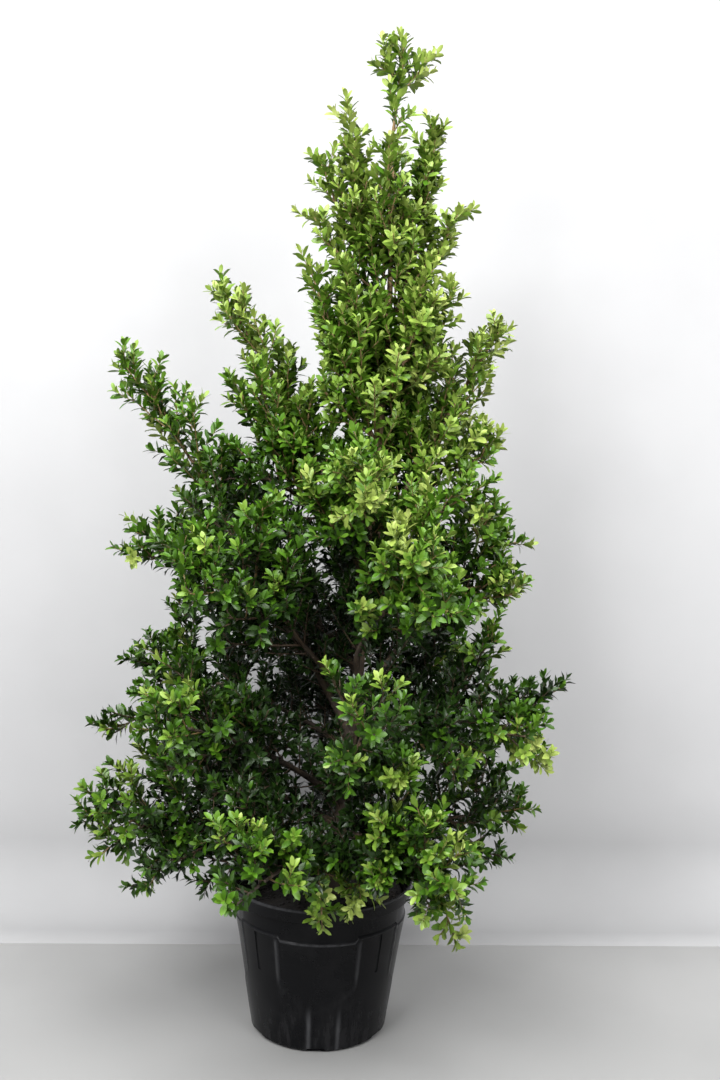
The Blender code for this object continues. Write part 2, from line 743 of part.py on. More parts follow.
class Mass:
    """One mass of foliage while its twigs and leaves are added."""

    def __init__(self, limb, space, leaf, samples, trunk_cutter, collection, attempt):
        self.limb = limb
        self.space = space
        self.leaf = leaf
        self.samples = samples
        self.rng = random.Random(f"{FOLIAGE_SEED} {limb.name} {attempt}")
        self.pieces = new_collection("pieces")
        self.twigs = []
        self.leaves = []
        self.line, heading = limb.stem_line()
        if limb.stem_start > 0.0:
            self.line[0] += heading * TOUCH
        self.line[-1] -= limb.direction(1.0) * TIP_LEAF_SHARE * LEAF_LENGTH * limb.leaf_scale
        self.radii = self.stem_radii()
        sides = 1 if limb.has_core else 0
        self.stem = tube("foliage_" + limb.name, self.line, self.radii, collection, sides)
        if limb.stem_start == 0.0:
            join_by_boolean(self.stem, "DIFFERENCE", cutter=trunk_cutter)
            keep_main_body(self.stem)
        self.stem_surface = surface(self.stem.data, Matrix())

    def stem_radii(self):
        """The stem's radii: a plain taper, or swollen to a dense mass's core."""
        first = BOUGH_TIP_RADIUS if self.limb.stem_start > 0.1 else TRUNK_TIP_RADIUS
        last = STEM_STATIONS - 1
        radii = []
        for i, place in enumerate(self.line):
            share = i / last
            radius = first + (STEM_TIP_RADIUS - first) * share
            if self.limb.has_core and 0 < i < last:
                core = CORE_SHARE * self.limb.spread * plume(share) * self.rng.uniform(*CORE_LUMPS)
                radius = max(radius, min(core, self.space.room(self.limb.name, place)))
            radii.append(radius)
        return radii

    def core_radius(self, t):
        """The stem's or core's radius at share t along it."""
        place = t * (STEM_STATIONS - 1)
        low = min(int(place), STEM_STATIONS - 2)
        return self.radii[low] + (self.radii[low + 1] - self.radii[low]) * (place - low)

    def stem_point(self, t):
        """The middle of the stem, as built, at share t along it."""
        place = t * (STEM_STATIONS - 1)
        low = min(int(place), STEM_STATIONS - 2)
        return self.line[low].lerp(self.line[low + 1], place - low)

    def roll(self):
        """A leaf's seeded roll about its midrib."""
        return self.rng.uniform(-LEAF_ROLL, LEAF_ROLL)

    def leaf_scale(self, own_twig):
        """A leaf's size: smaller on the twigs of a dense mass than on its core."""
        on_twig = self.limb.has_core and own_twig is not self.stem_surface
        return self.limb.leaf_scale * (TWIG_LEAF_SHARE if on_twig else 1.0)

    def leaf_fits(self, matrix, own_twig):
        """Whether a leaf keeps to the space and crosses only the twig it grows on."""
        placed = np.array(matrix)
        points = self.samples @ placed[:3, :3].T + placed[:3, 3]
        if not self.space.holds(self.limb.name, points):
            return False
        middle = matrix @ Matrix.Translation((0.5 * LEAF_LENGTH, 0.0, 0.0))
        half = (0.5 * LEAF_LENGTH, 0.38 * LEAF_WIDTH, 0.5 * LEAF_THICKNESS)
        if not self.space.clear_of_limbs(middle, half):
            return False
        faces = surface(self.leaf, matrix)
        others = self.leaves + [twig for twig in self.twigs if twig is not own_twig]
        if own_twig is not self.stem_surface:
            others.append(self.stem_surface)
        return not any(faces.overlap(other) for other in others)

    def add_leaf(self, matrix, own_twig):
        """Fuse on a leaf if it fits."""
        if not self.leaf_fits(matrix, own_twig):
            return False
        self.leaves.append(surface(self.leaf, matrix))
        placed = add_object("piece", self.leaf, self.pieces)
        placed.matrix_world = matrix
        return True

    def add_side_leaf(self, place, axis, turn, lean, own_twig):
        """Fuse on a leaf beside a twig or stem, at the first turn about it that fits."""
        turns = 1 if self.limb.has_core and own_twig is self.stem_surface else LEAF_TURNS
        for i in range(turns):
            matrix = leaf_at(place, axis, turn + i * math.tau / LEAF_TURNS, lean)
            matrix = matrix @ Matrix.Rotation(self.roll(), 4, "X")
            if self.add_leaf(matrix @ Matrix.Scale(self.leaf_scale(own_twig), 4), own_twig):
                return

    def add_twig(self, t, root, heading, length):
        """A side twig with its leaves, left out where its tip's leaf has no room."""
        scale = self.leaf_scale(None)
        bare_length = max(TWIG_SHORTEST, length - TIP_LEAF_SHARE * LEAF_LENGTH * scale)
        end = root + heading * bare_length
        turn = self.rng.uniform(0.0, math.tau)
        tip = tip_leaf(end, heading, self.rng.uniform(*TIP_ROLL)) @ Matrix.Scale(scale, 4)
        middle = heading_matrix(root.lerp(end, TWIG_FREE_MIDDLE), heading, UP)
        half = ((1.0 - TWIG_FREE_MIDDLE) * bare_length, TWIG_ROOT_RADIUS, TWIG_ROOT_RADIUS)
        spots = np.array([root.lerp(end, share) for share in TWIG_SPOTS])
        if not self.space.holds(self.limb.name, spots):
            return
        if not self.space.clear_of_limbs(middle, half) or not self.leaf_fits(tip, None):
            return
        twig = cone_between("piece", root, end, (TWIG_ROOT_RADIUS, TWIG_TIP_RADIUS), self.pieces)
        faces = surface(twig.data, Matrix())
        if any(faces.overlap(other) for other in self.leaves + self.twigs):
            bpy.data.objects.remove(twig, do_unlink=True)
            return
        self.twigs.append(faces)
        self.add_leaf(tip, faces)
        inside = min(self.core_radius(t), TWIG_MOST_INSIDE * bare_length)
        free = bare_length - inside
        count = SIDE_LEAVES if free > 0.5 * LEAF_LENGTH * scale else SIDE_LEAVES - 1
        for i in range(count):
            along = inside + free * (SIDE_LEAF_FIRST - SIDE_LEAF_STEP * i / count)
            self.add_side_leaf(root + heading * along, heading, turn + i * GOLDEN_ANGLE,
                               LEAF_LEAN, faces)

    def add_stem_leaves(self):
        """Leaves straight on the stem or its core, spiralling out along it."""
        limb = self.limb
        length = (self.line[-1] - self.line[0]).length
        count = CORE_LEAVES
        if not limb.has_core:
            count = round(STEM_LEAVES_PER_METRE * length / limb.leaf_scale ** 2)
        turn = self.rng.uniform(0.0, math.tau)
        for i in range(count):
            t = LEAF_SPAN[0] + (LEAF_SPAN[1] - LEAF_SPAN[0]) * (i + 0.5) / count
            s = limb.stem_start + (1.0 - limb.stem_start) * t
            axis = limb.direction(s)
            outward = around(axis, turn + i * GOLDEN_ANGLE)
            depth = CORE_LEAF_DEPTH * self.core_radius(t) if limb.has_core else 0.0
            place = self.stem_point(t) + outward * depth
            lean = CORE_LEAF_LEAN if limb.has_core else STEM_LEAF_LEAN
            self.add_side_leaf(place, axis, turn + i * GOLDEN_ANGLE, lean, self.stem_surface)

    def grow(self):
        """The leaf at the stem's tip, then the twigs, then the leaves between them."""
        heading = (self.line[-1] - self.line[-2]).normalized()
        tip = tip_leaf(self.line[-1], heading, self.rng.uniform(*TIP_ROLL))
        self.add_leaf(tip @ Matrix.Scale(self.limb.leaf_scale, 4), self.stem_surface)
        for t, root, heading, length in twig_plan(self.limb, self.rng):
            self.add_twig(t, root, heading, length)
        self.add_stem_leaves()

    def fuse(self):
        """Join stem, twigs and leaves into one solid: EXACT is slow with so many."""
        join_by_boolean(self.stem, "UNION", operands=self.pieces, solver="MANIFOLD")
        remove_collection(self.pieces)
        keep_main_body(self.stem)


def make_mass(limb, space, leaf, samples, trunk_cutter, collection, green):
    """One mass: stem, twigs and leaves as one solid, grown again if it doesn't close."""
    first = FIRST_ATTEMPTS.get(limb.name, 0)
    for attempt in range(first, first + MASS_ATTEMPTS):
        mass = Mass(limb, space, leaf, samples, trunk_cutter, collection, attempt)
        mass.grow()
        mass.fuse()
        if closes_cleanly(mass.stem):
            mass.stem.data.materials.clear()
            mass.stem.data.materials.append(principled("leaves_" + limb.name, green))
            return mass.stem
        bpy.data.objects.remove(mass.stem, do_unlink=True)
    raise RuntimeError(f"foliage_{limb.name} didn't close in {MASS_ATTEMPTS} attempts")


def main():
    """Model the pot, the soil, the trunk, the boughs and the masses of foliage."""
    clear_scene()
    plant = new_collection("potted_holly")
    cutters = new_collection("cutters")
    make_pot(plant)
    make_soil(plant)
    make_trunk(plant)
    points, radii = trunk_line(TOUCH)
    trunk_cutter = tube("trunk_cutter", points, radii, cutters, (TRUNK_SIDES - 4) // 2)
    trunk_cutter.hide_render = True
    trunk_cutter.display_type = "WIRE"
    limbs, bare = plan_limbs()
    space = Space(limbs, bare)
    leaf = leaf_mesh()
    samples = leaf_samples()
    for index, limb in enumerate(limbs):
        if limb.name in bare:
            make_bough(limb, trunk_cutter, plant)
        green = LEAF_GREENS[index % len(LEAF_GREENS)]
        make_mass(limb, space, leaf, samples, trunk_cutter, plant, green)


main()
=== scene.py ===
"""Potted holly: its looks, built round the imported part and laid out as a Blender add-on.

An upright, small-leaved garden holly in a black nursery pot. Lengths are metres, +Z is up
and the side that a viewer faces is -Y. The limbs follow the solids' own rule. The twigs and
leaves that grow on them from there are finer than the solids and keep within their reach.
"""
import math
import random
from functools import partial
from typing import NamedTuple

import bmesh
import bpy
import numpy as np
from bpy.props import FloatProperty, FloatVectorProperty, IntProperty, PointerProperty
from bpy.types import Operator, Panel, PropertyGroup
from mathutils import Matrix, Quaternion, Vector, noise


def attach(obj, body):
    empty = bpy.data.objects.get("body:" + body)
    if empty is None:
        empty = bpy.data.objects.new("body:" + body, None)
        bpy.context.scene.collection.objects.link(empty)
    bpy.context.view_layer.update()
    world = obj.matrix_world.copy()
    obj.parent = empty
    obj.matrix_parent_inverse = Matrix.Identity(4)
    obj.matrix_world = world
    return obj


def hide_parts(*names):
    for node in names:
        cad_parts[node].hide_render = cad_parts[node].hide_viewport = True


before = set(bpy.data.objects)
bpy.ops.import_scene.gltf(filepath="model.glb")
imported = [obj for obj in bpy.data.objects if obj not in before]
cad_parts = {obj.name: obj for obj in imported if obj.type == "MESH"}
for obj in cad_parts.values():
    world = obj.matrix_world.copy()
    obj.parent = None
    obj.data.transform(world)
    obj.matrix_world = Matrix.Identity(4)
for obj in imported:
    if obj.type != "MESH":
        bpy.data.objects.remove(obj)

bl_info = {
    "name": "Potted Holly",
    "version": (1, 0, 0),
    "blender": (4, 5, 0),
    "location": "3D View > Sidebar > Holly",
    "description": "Builds the pot, soil, bark, twigs and leaves of a potted garden holly",
    "category": "Add Mesh",
}

BODY = "root"
UP = np.array((0.0, 0.0, 1.0))
GOLDEN_ANGLE = math.radians(137.5)

# Pot, as in the solids
POT_HEIGHT = 0.338
RIM_RADIUS = 0.205
RIM_BAND = 0.030
LIP_THICKNESS = 0.006
COLLAR_RADIUS = 0.187
COLLAR_HEIGHT = 0.042
LEDGE = 0.003
FOOT_RADIUS = 0.150
FOOT_CHAMFER = 0.006
WALL = 0.0035
FLOOR_THICKNESS = 0.014
LEDGE_HEIGHT = POT_HEIGHT - RIM_BAND - COLLAR_HEIGHT
GROOVES = 4                 # midway between the front, the sides and the back
GROOVE_WIDTH = 0.008
GROOVE_DEPTH = 0.0022
GROOVE_LENGTH = 0.090
GROOVE_TOP = 0.004
NOTCHES = 6
NOTCH_WIDTH = 0.040
NOTCH_HEIGHT = 0.009
NOTCH_DEPTH = 0.022
FRONT = -math.pi / 2.0

# Pot, finer than the solids
POT_SIDES = 360
WALL_RINGS = 30
PANELS = 4                  # set back a little in the wall, at the front, sides and back
PANEL_WIDTHS = (11.0, 26.0) # degrees from a panel's middle to its edge, low and high on it
PANEL_WAIST = (0.105, 0.155)         # heights between which it widens
PANEL_DEPTH = 0.0012
PANEL_BEAD = 0.0016         # height of the bead along its edge
PANEL_DROP = 0.009          # how far the ledge comes down over a panel
HIGHLIGHT_STREAKS = (-6.0, 17.0)      # degrees from the front to the painted highlight streaks low on the wall, painted reflections of the lamps
LEDGE_END = 0.0060          # how far over the ledge its rounding ends
GROOVE_BEVEL = 0.0014
NOTCH_BEVEL = 0.0022

# Soil, as in the solids
SOIL_TOP = 0.300
SOIL_CROWN = 0.006
TOUCH = 0.0003

# Soil, finer than the solids
SOIL_SIDES = 120
SOIL_RINGS = 34
SOIL_LUMPS = ((24.0, 0.50), (62.0, 0.32), (150.0, 0.18))     # each a closeness and a share
CRUMB_SIZES = (0.0016, 0.0048)

# Trunk and limbs, as in the solids
LIMB_SEED = 7
TRUNK_FOOT = np.array((0.022, 0.0))
TRUNK_BASE_Z = SOIL_TOP + SOIL_CROWN + TOUCH
TRUNK_TOP_Z = 1.930
TRUNK_LEAN = 0.092
TRUNK_SWAY = 0.010
TRUNK_FOOT_RADIUS = 0.0165
TRUNK_TIP_RADIUS = 0.0042
TRUNK_TAPER = 0.85          # power of its taper
FLARE_RADIUS = 0.013
FLARE_HEIGHT = 0.035
ANGLE_SPREAD = 6.0          # degrees that a limb may be off its even place in its ring
REACHES = (0.94, 1.04)      # a limb's reach as a share of its ring's
TIP_SPREAD = 0.008          # how far off its height a tip may be, times the ring's count
BOUGH_SHARE = 0.24
BOUGH_ROOT_RADIUS = 0.0095
BOUGH_TIP_RADIUS = 0.0055
STEM_TIP_RADIUS = 0.0020
SWAY = 0.030
LEADER_ROOT = 0.002
LEADER_TIP = np.array((0.137, 0.0, 2.110))
LEADER_SWAY = 0.012
LEADER_SPREAD = 0.090

# Bark, finer than the solids
TRUNK_SUNK = 0.006          # how far the trunk goes on under the soil's surface
TRUNK_RINGS = 250
TRUNK_SIDES = 30
BOUGH_SIDES = 14
STEM_SIDES = 10
LIMB_STEP = 0.006           # between the rings of a limb's bark
FEWEST_RINGS = 24
ROOT_SHARE = 0.72           # a bough's root as a share of the trunk's radius there, at most
STEM_ROOT_SHARE = 0.8       # the same for a stem that has no bough
STEM_TIP_SHARE = 0.8        # such a stem's tip as a share of the others'
ROOT_SWELL = 0.55           # how much thicker a bough is just clear of the trunk
ROOT_SWELL_LENGTH = 0.010
FLARE_LENGTH = 0.040        # over which the lobes of the root flare die out
FLARE_LOBES = ((5.0, 0.8, 0.30), (3.0, 0.0, 0.16))           # count, turn and share of each kind

# Foliage, finer than the solids
BRANCHED_SPREAD = 0.12      # masses wider than this carry side branches
BRANCHES_PER_METRE = 11.0
BRANCH_LEANS = (44.0, 60.0) # degrees from the stem
STEEP_LEANS = (24.0, 40.0)  # the same on a stem that rises from the trunk
BRANCH_TURNS = (35.0, 120.0)         # degrees about the stem from its level side
BRANCH_RISE = 0.12
BRANCH_SPAN = (0.04, 0.72)
BRANCH_LENGTH = 1.30        # at the stem's root, as a share of the mass's spread
BRANCH_SHORTER = 0.55       # how much shorter a branch would be at the stem's tip
BRANCH_RANGE = (0.80, 1.15)
BRANCH_SPREAD = 0.50        # a branch's own spread as a share of the mass's
BRANCH_RADIUS = 0.0030
BRANCH_BARE = 0.55          # share of a branch without leaves
BRANCH_STATIONS = 9
STEM_STATIONS = 24
STEM_END = 0.72             # share of a limb past which its own stem is leafy
TWIG_SPAN = (0.02, 0.97)
TWIG_RISE = 0.22
TWIG_LEAN_SPREAD = 0.08     # radians
TWIG_SHORTEST = 0.012
TWIG_RADIUS = 0.0021
TWIG_TAPER = 0.55           # a twig's radius at its end as a share of that at its root
TWIG_POINT = 0.0015
TWIG_LIFT = 0.16            # how much a twig curves upward by its tip, as a share of its length
TWIG_LIFT_RANGE = (0.4, 1.5)
TWIG_WANDER = 0.06
TWIG_STATIONS = 7
TWIG_SIDES = ((1, 6), (2, 4), (3, 3))        # orders of shoot, and the sides of their tubes
TWIG_TONE_STEPS = (2.0, 6.5)      # leaf tones from which a twig is tan, and green, so twigs follow their leaves' painted shade and light as well as their age
SPUR_SPAN = (0.20, 0.93)    # shares of a twig between which spurs leave it
SPUR_LEAN = (math.radians(52.0), math.radians(38.0))
SPUR_RISE = 0.16
SPUR_SHORTEST = 0.032
SPUR_LENGTH = 0.36          # what it may be longer at a twig's root, as a share of the twig
SPUR_RADIUS = 0.0013
SPUR_BARE = 0.10
SPUR_STATIONS = 4
CLEAR_RADIUS = 0.0028
CLEAR_BARE = 0.40
INNER_SPACING = 0.015       # between the small shoots on the trunk and on bare boughs
INNER_LENGTHS = (0.06, 0.16)
INNER_LEAN = (math.radians(70.0), math.radians(50.0))
INNER_RISE = 0.35
INNER_RADIUS = 0.0018
INNER_BARE = 0.30
INNER_BACK_REACH = 0.8      # how much longer they are where they point straight back
INNER_START = 0.35          # share of a bare bough past which they grow
INNER_FOOT = 0.37           # no shoot leaves the trunk lower than this
INNER_TOP = 1.50            # nor higher than this
TRUNK_WINDOW = (0.60, 0.93) # heights between which the trunk shows from the front
WINDOW_FRONT = -0.25        # a heading with less y than this points to the front
LEAF_ALLOWANCE = 0.024      # how far short of a tip the wood ends, for the leaves to reach it
POT_CLEARANCE = 0.006
RIM_CLEAR_RADIUS = 0.310    # only a few named shoots come nearer to the pot's rim than this
RIM_CLEAR_HEIGHT = 0.385
RIM_OPEN_RADIUS = 0.400     # on the left of the front they keep off further out as well
RIM_OPEN_SLOPE = 0.40
RIM_OPEN_LEFT = -0.188      # the x where that side begins, on the pot's middle line
RIM_OPEN_LEFT_RUN = -0.095  # and how that x changes with y
RIM_OPEN_RIGHT = 0.02
RIM_OPEN_FRONT = -0.40      # past this y they keep off at any distance

# Leaves
LEAF_RISE = 0.14
LEAF_FACE_UP = 0.40
LEAF_LEAN = (math.radians(60.0), math.radians(26.0))
LEAF_LEAN_POWER = 1.6
LEAF_CROWDING = 1.25        # power by which leaves stand closer towards a shoot's tip
LEAF_TIP = 0.030            # length of a shoot over which its leaves grow smaller and upright
LEAF_TIP_SMALLER = 0.34
LEAF_SIZES = (0.80, 1.12)
LEAF_CUPS = (0.3, 1.7)
FEWEST_LEAVES = 5
TONES = 11                  # steps of leaf colour from the deepest painted shade to the youngest leaf, the upper steps also painted light
INNER_TONES = 2             # leaves of lower steps than this are plainer

# Leaf tones, with painted shade deep in the crown and low down and painted light high up: the
# deepest one, what is gained outward and upward, and where
TONE_DEEPEST = -2.0
TONE_OUTWARD = 3.4
TONE_OUTWARD_LOST = 2.4     # how much of that is lost high up, where the crown is thin
TONE_UPWARD = 7.1
TONE_DEPTHS = (0.35, 0.95)
TONE_HEIGHTS = (0.68, 1.60)
TONE_SIDE = (0.10, 0.15, 0.80)       # middle x, how far tones hold, height lost a metre past it, so the painted light is less off to the sides
TONE_CLOUDS = (7.0, 1.5)    # how close the lighter patches stand, and their strength
NEW_SPRAYS = (0.08, 0.60)   # share of sprays that are new, and what strong new growth adds
NEW_TONES = (1.8, 4.2)


class Ring(NamedTuple):
    """One ring of limbs, as in the solids: angles in degrees, the rest in metres."""

    name: str
    count: int
    first_angle: float
    angle_step: float
    root_height: float
    root_step: float
    reach: float
    centre_x: float
    tip_height: float
    bend: float
    arch: float
    spread: float
    has_boughs: bool


RINGS = (
    Ring("skirt", 6, 195, 60, 0.375, 0.014, 0.515, -0.038, 0.490, 0.80, 0.02, 0.17, True),
    Ring("lower", 6, 225, 60, 0.505, 0.022, 0.490, 0.010, 0.780, 0.95, 0.03, 0.17, True),
    Ring("middle", 5, 8, 72, 0.690, 0.028, 0.430, -0.005, 1.070, 0.95, 0.04, 0.17, True),
    Ring("upper", 4, 275, 90, 0.900, 0.035, 0.270, 0.040, 1.300, 1.00, 0.04, 0.15, True),
    Ring("waist", 4, 45, 90, 1.260, 0.040, 0.120, 0.105, 1.690, 1.80, 0.00, 0.13, False),
    Ring("column", 4, 0, 90, 1.560, 0.040, 0.095, 0.110, 1.960, 1.80, 0.00, 0.10, False),
    Ring("long_left", 1, 184, 0, 0.650, 0, 0.54, 0.09, 1.475, 1.00, 0.03, 0.11, True),
    Ring("slim_left", 1, 166, 0, 1.060, 0, 0.33, 0.06, 1.635, 1.05, 0.02, 0.10, True),
    Ring("long_right", 1, 3, 0, 1.075, 0, 0.275, 0.09, 1.560, 1.10, 0.01, 0.11, True),
)


class Habit(NamedTuple):
    """How twigs leave a stem or branch and how they are clothed."""

    spacing: float          # times the set distance from twig to twig
    leans: tuple            # degrees from the stem, at its root and at its tip
    lengths: tuple          # shares of the mass's outline that twigs reach
    room: float             # a twig's most, as a share of the stem left beyond it
    spur_spacing: float     # times the set distance from spur to spur
    bare: float             # share of a twig without leaves


BUSHY = Habit(1.0, (62.0, 36.0), (0.62, 1.02), 1.10, 1.0, 0.30)
UPRIGHT = Habit(1.05, (40.0, 24.0), (0.95, 1.75), 0.62, 2.6, 0.12)
SLENDER = Habit(1.0, (34.0, 20.0), (0.30, 0.55), 0.60, 6.0, 0.05)

# Shoots that stand clear of their masses, by limb: share of the way along it, the tip's x, y and
# z, reach of its own twigs, sag under a straight line, and what is added to its leaves' tone
CLEAR_SHOOTS = {
    "skirt_1": (
        (0.45, -0.400, -0.130, 0.330, 0.080, -0.010, -0.5),
        (0.35, -0.310, -0.210, 0.430, 0.070, -0.010, -0.5),
        (0.28, -0.250, -0.200, 0.370, 0.075, -0.010, -1.5),
        (0.55, -0.350, -0.160, 0.400, 0.080, 0.000, 0.0)),
    "skirt_2": (
        (0.26, 0.015, -0.290, 0.318, 0.045, -0.050, 5.0),
        (0.30, -0.030, -0.320, 0.510, 0.080, 0.010, 0.5),
        (0.45, -0.120, -0.380, 0.560, 0.090, 0.010, 0.5)),
    "skirt_3": (
        (0.26, 0.060, -0.275, 0.340, 0.045, -0.030, 4.2),
        (0.55, 0.300, -0.210, 0.255, 0.024, -0.055, 3.6),
        (0.30, 0.030, -0.280, 0.470, 0.090, 0.010, 0.5),
        (0.40, 0.120, -0.340, 0.450, 0.090, 0.010, 1.5),
        (0.42, 0.210, -0.290, 0.450, 0.080, 0.000, 1.5),
        (0.50, 0.120, -0.350, 0.590, 0.090, 0.010, 1.5)),
    "lower_1": ((0.40, -0.170, -0.260, 0.810, 0.090, 0.010, 0.0),),
    "lower_2": (
        (0.25, 0.020, -0.270, 0.620, 0.090, 0.010, 0.5),
        (0.45, 0.190, -0.330, 0.660, 0.080, 0.010, 0.5)),
    "lower_3": (
        (0.72, 0.515, -0.090, 0.805, 0.045, 0.010, -1.2),
        (0.66, 0.485, -0.150, 0.640, 0.055, 0.010, 3.0),
        (0.35, 0.270, -0.200, 0.740, 0.090, 0.010, 0.0)),
    "lower_4": ((0.35, 0.120, 0.330, 0.850, 0.100, 0.020, -1.0),),
    "lower_5": ((0.40, 0.060, 0.310, 0.900, 0.100, 0.010, -1.0),),
    "lower_6": ((0.70, -0.500, 0.000, 0.640, 0.060, 0.020, 0.5),),
    "middle_1": ((0.60, 0.425, -0.060, 0.995, 0.060, 0.020, 1.0),),
    "middle_2": ((0.35, 0.095, 0.300, 0.800, 0.110, -0.020, -1.0),),
    "middle_3": ((0.75, -0.470, 0.080, 1.035, 0.055, 0.020, 1.0),),
    "middle_4": (
        (0.70, -0.400, -0.120, 1.130, 0.060, 0.020, 0.5),
        (0.30, -0.100, -0.230, 1.010, 0.090, 0.010, 0.0),
        (0.45, -0.070, -0.260, 1.100, 0.090, 0.010, 0.0)),
    "upper_1": ((0.30, -0.040, -0.210, 1.230, 0.080, 0.010, 0.5),),
    "upper_4": (
        (0.40, -0.165, -0.080, 1.470, 0.070, 0.030, 0.0),
        (0.55, -0.100, 0.080, 1.500, 0.070, 0.030, 0.0)),
    "waist_2": ((0.40, -0.055, 0.060, 1.590, 0.050, 0.020, 0.0),),
    "waist_3": ((0.55, -0.060, -0.060, 1.680, 0.050, 0.020, 0.0),),
    "waist_4": ((0.50, 0.262, -0.060, 1.645, 0.045, 0.025, 0.5),),
    "column_1": (
        (0.45, 0.210, -0.020, 1.962, 0.040, 0.015, 0.5),
        (0.05, 0.272, -0.010, 1.808, 0.040, 0.025, 0.5)),
    "column_3": (
        (0.45, 0.020, -0.020, 1.998, 0.040, 0.015, 0.5),
        (0.25, -0.045, 0.000, 1.902, 0.050, 0.020, 0.0),
        (0.05, -0.060, -0.030, 1.780, 0.050, 0.020, 0.0)),
    "slim_left": ((0.30, -0.235, 0.040, 1.430, 0.060, 0.030, 0.0),),
    "leader": (
        (0.58, 0.082, -0.015, 2.108, 0.022, 0.010, 1.5),
        (0.80, 0.132, -0.010, 2.137, 0.022, 0.000, 1.5),
        (0.55, 0.198, 0.010, 2.112, 0.030, 0.012, 1.0)),
}

# Where the crown stands open towards the front, each a middle and half sizes
OPENINGS = (
    ((0.085, -0.300, 0.775), (0.085, 0.28, 0.055)),
    ((-0.005, -0.250, 0.800), (0.036, 0.25, 0.110)),
    ((-0.060, -0.220, 0.850), (0.060, 0.20, 0.110)),
    ((0.124, -0.100, 1.600), (0.022, 0.10, 0.100)),
)

# How far the crown reaches from its own middle line, by height: (height, middle x, radius)
CROWN = (
    (0.28, -0.02, 0.40),
    (0.50, -0.03, 0.53),
    (0.65, -0.01, 0.49),
    (0.80, 0.02, 0.47),
    (1.00, -0.01, 0.45),
    (1.20, -0.02, 0.38),
    (1.40, -0.01, 0.33),
    (1.60, 0.05, 0.24),
    (1.80, 0.10, 0.17),
    (2.00, 0.10, 0.12),
    (2.15, 0.13, 0.08),
)

# Where new growth is strongest: (x, y, z, radius, strength)
NEW_GROWTH = (
    (0.16, -0.40, 0.58, 0.20, 1.0),
    (0.05, -0.38, 0.50, 0.16, 0.8),
    (0.40, -0.22, 0.62, 0.17, 1.0),
    (0.44, 0.02, 0.92, 0.17, 0.9),
    (0.13, -0.36, 0.94, 0.14, 0.8),
    (-0.05, -0.30, 0.98, 0.12, 0.6),
    (0.12, -0.28, 1.22, 0.14, 0.8),
    (0.30, 0.05, 1.28, 0.12, 0.9),
    (-0.10, -0.42, 0.66, 0.14, 0.6),
    (-0.33, -0.25, 0.80, 0.14, 0.5),
    (-0.44, 0.02, 1.05, 0.12, 0.6),
    (0.10, -0.22, 0.33, 0.11, 1.0),
    (0.12, 0.40, 0.70, 0.20, 0.8),
    (-0.25, 0.32, 0.95, 0.18, 0.8),
    (0.08, 0.02, 2.05, 0.16, 0.3),
    (-0.42, -0.12, 0.55, 0.26, 0.45),
    (0.42, 0.05, 0.50, 0.20, 0.6),
)

# Leaf blades: share along the leaf, share of half its width, and height as a share of its length
LEAF_POINTS = np.array((
    (0.00, 0.00, 0.000),
    (0.17, -0.50, 0.030), (0.17, 0.00, 0.000), (0.17, 0.50, 0.030),
    (0.52, -1.00, 0.070), (0.52, 0.00, 0.012), (0.52, 1.00, 0.070),
    (0.83, -0.76, 0.020), (0.83, 0.00, -0.020), (0.83, 0.76, 0.020),
    (1.00, 0.00, -0.075),
))
LEAF_FACES = (
    (0, 2, 1), (0, 3, 2),
    (1, 2, 5, 4), (2, 3, 6, 5),
    (4, 5, 8, 7), (5, 6, 9, 8),
    (7, 8, 10), (8, 9, 10),
)
INNER_LEAF_POINTS = np.array((
    (0.00, 0.00, 0.000), (0.52, -0.96, 0.070), (0.52, 0.00, 0.010), (0.52, 0.96, 0.070),
    (1.00, 0.00, -0.060),
))
INNER_LEAF_FACES = ((0, 2, 1), (0, 3, 2), (1, 2, 4), (2, 3, 4))

# Stage: where the backdrop meets the floor behind the pot, and its turn from the X axis
STAGE_SEAM = 0.382
STAGE_TURN = math.radians(2.6)
STAGE_WIDTH = 6.0
STAGE_FRONT = -6.0
SEAM_GROOVE = (0.003, 0.004)         # half its width, and its depth
WALL_DISTANCE = 0.64
WALL_TOP = 5.0
COVE_RADIUS = 0.18
COVE_STEPS = 12
LIGHT_AIM = (0.05, 0.0, 1.0)
STRIP_AIM = (0.0, 0.0, 0.2)
# Painted shade on the floor and backdrop, where the paint gets darker: an axis, where it is
# darkest, where it ends, and its share there
# The floor darkens towards the front, the backdrop at its foot and high up.
FLOOR_PAINTED_SHADE = (("Y", -0.20, 0.38, 0.82), ("Y", -1.60, -0.25, 0.25))
WALL_PAINTED_SHADE = (("Z", 0.02, 0.34, 0.84), ("Z", 2.40, 1.00, 0.80))


# Settings: what someone who changes the plant would want to set

Colour = partial(FloatVectorProperty, subtype="COLOR", min=0.0, max=1.0)
Share = partial(FloatProperty, subtype="FACTOR", min=0.0, max=1.0)
Length = partial(FloatProperty, unit="LENGTH")
Angle = partial(FloatProperty, subtype="ANGLE")
Amount = partial(FloatProperty, min=0.0)


class PotSettings(PropertyGroup):
    """The pot's finish."""

    plastic_colour: Colour(name="Plastic", description="Colour of the pot's plastic",
                           default=(0.0030, 0.0031, 0.0037))
    dust_colour: Colour(name="Dust", description="Colour of the pot's dust and dried water marks",
                        default=(0.042, 0.041, 0.043))
    # The edge colour is a painted highlight on the ledge, beads, lip and two low streaks, not wear.
    highlight_colour: Colour(name="Worn edges", description="Colour of the plastic where it is worn",
                        default=(0.095, 0.096, 0.102))
    roughness: Share(name="Roughness", description="Roughness of clean plastic", default=0.24)


class SoilSettings(PropertyGroup):
    """The soil's surface and colours."""

    relief: Length(name="Relief", description="Height of the soil's lumps", default=0.010,
                   min=0.0, max=0.02)
    crumbs: IntProperty(name="Crumbs", description="Number of loose crumbs and bark chips",
                        default=520, min=0, max=2000)
    dark: Colour(name="Damp soil", description="Colour of damp soil",
                 default=(0.0040, 0.0028, 0.0021))
    pale: Colour(name="Dry soil", description="Colour of dry crumbs",
                 default=(0.016, 0.011, 0.007))


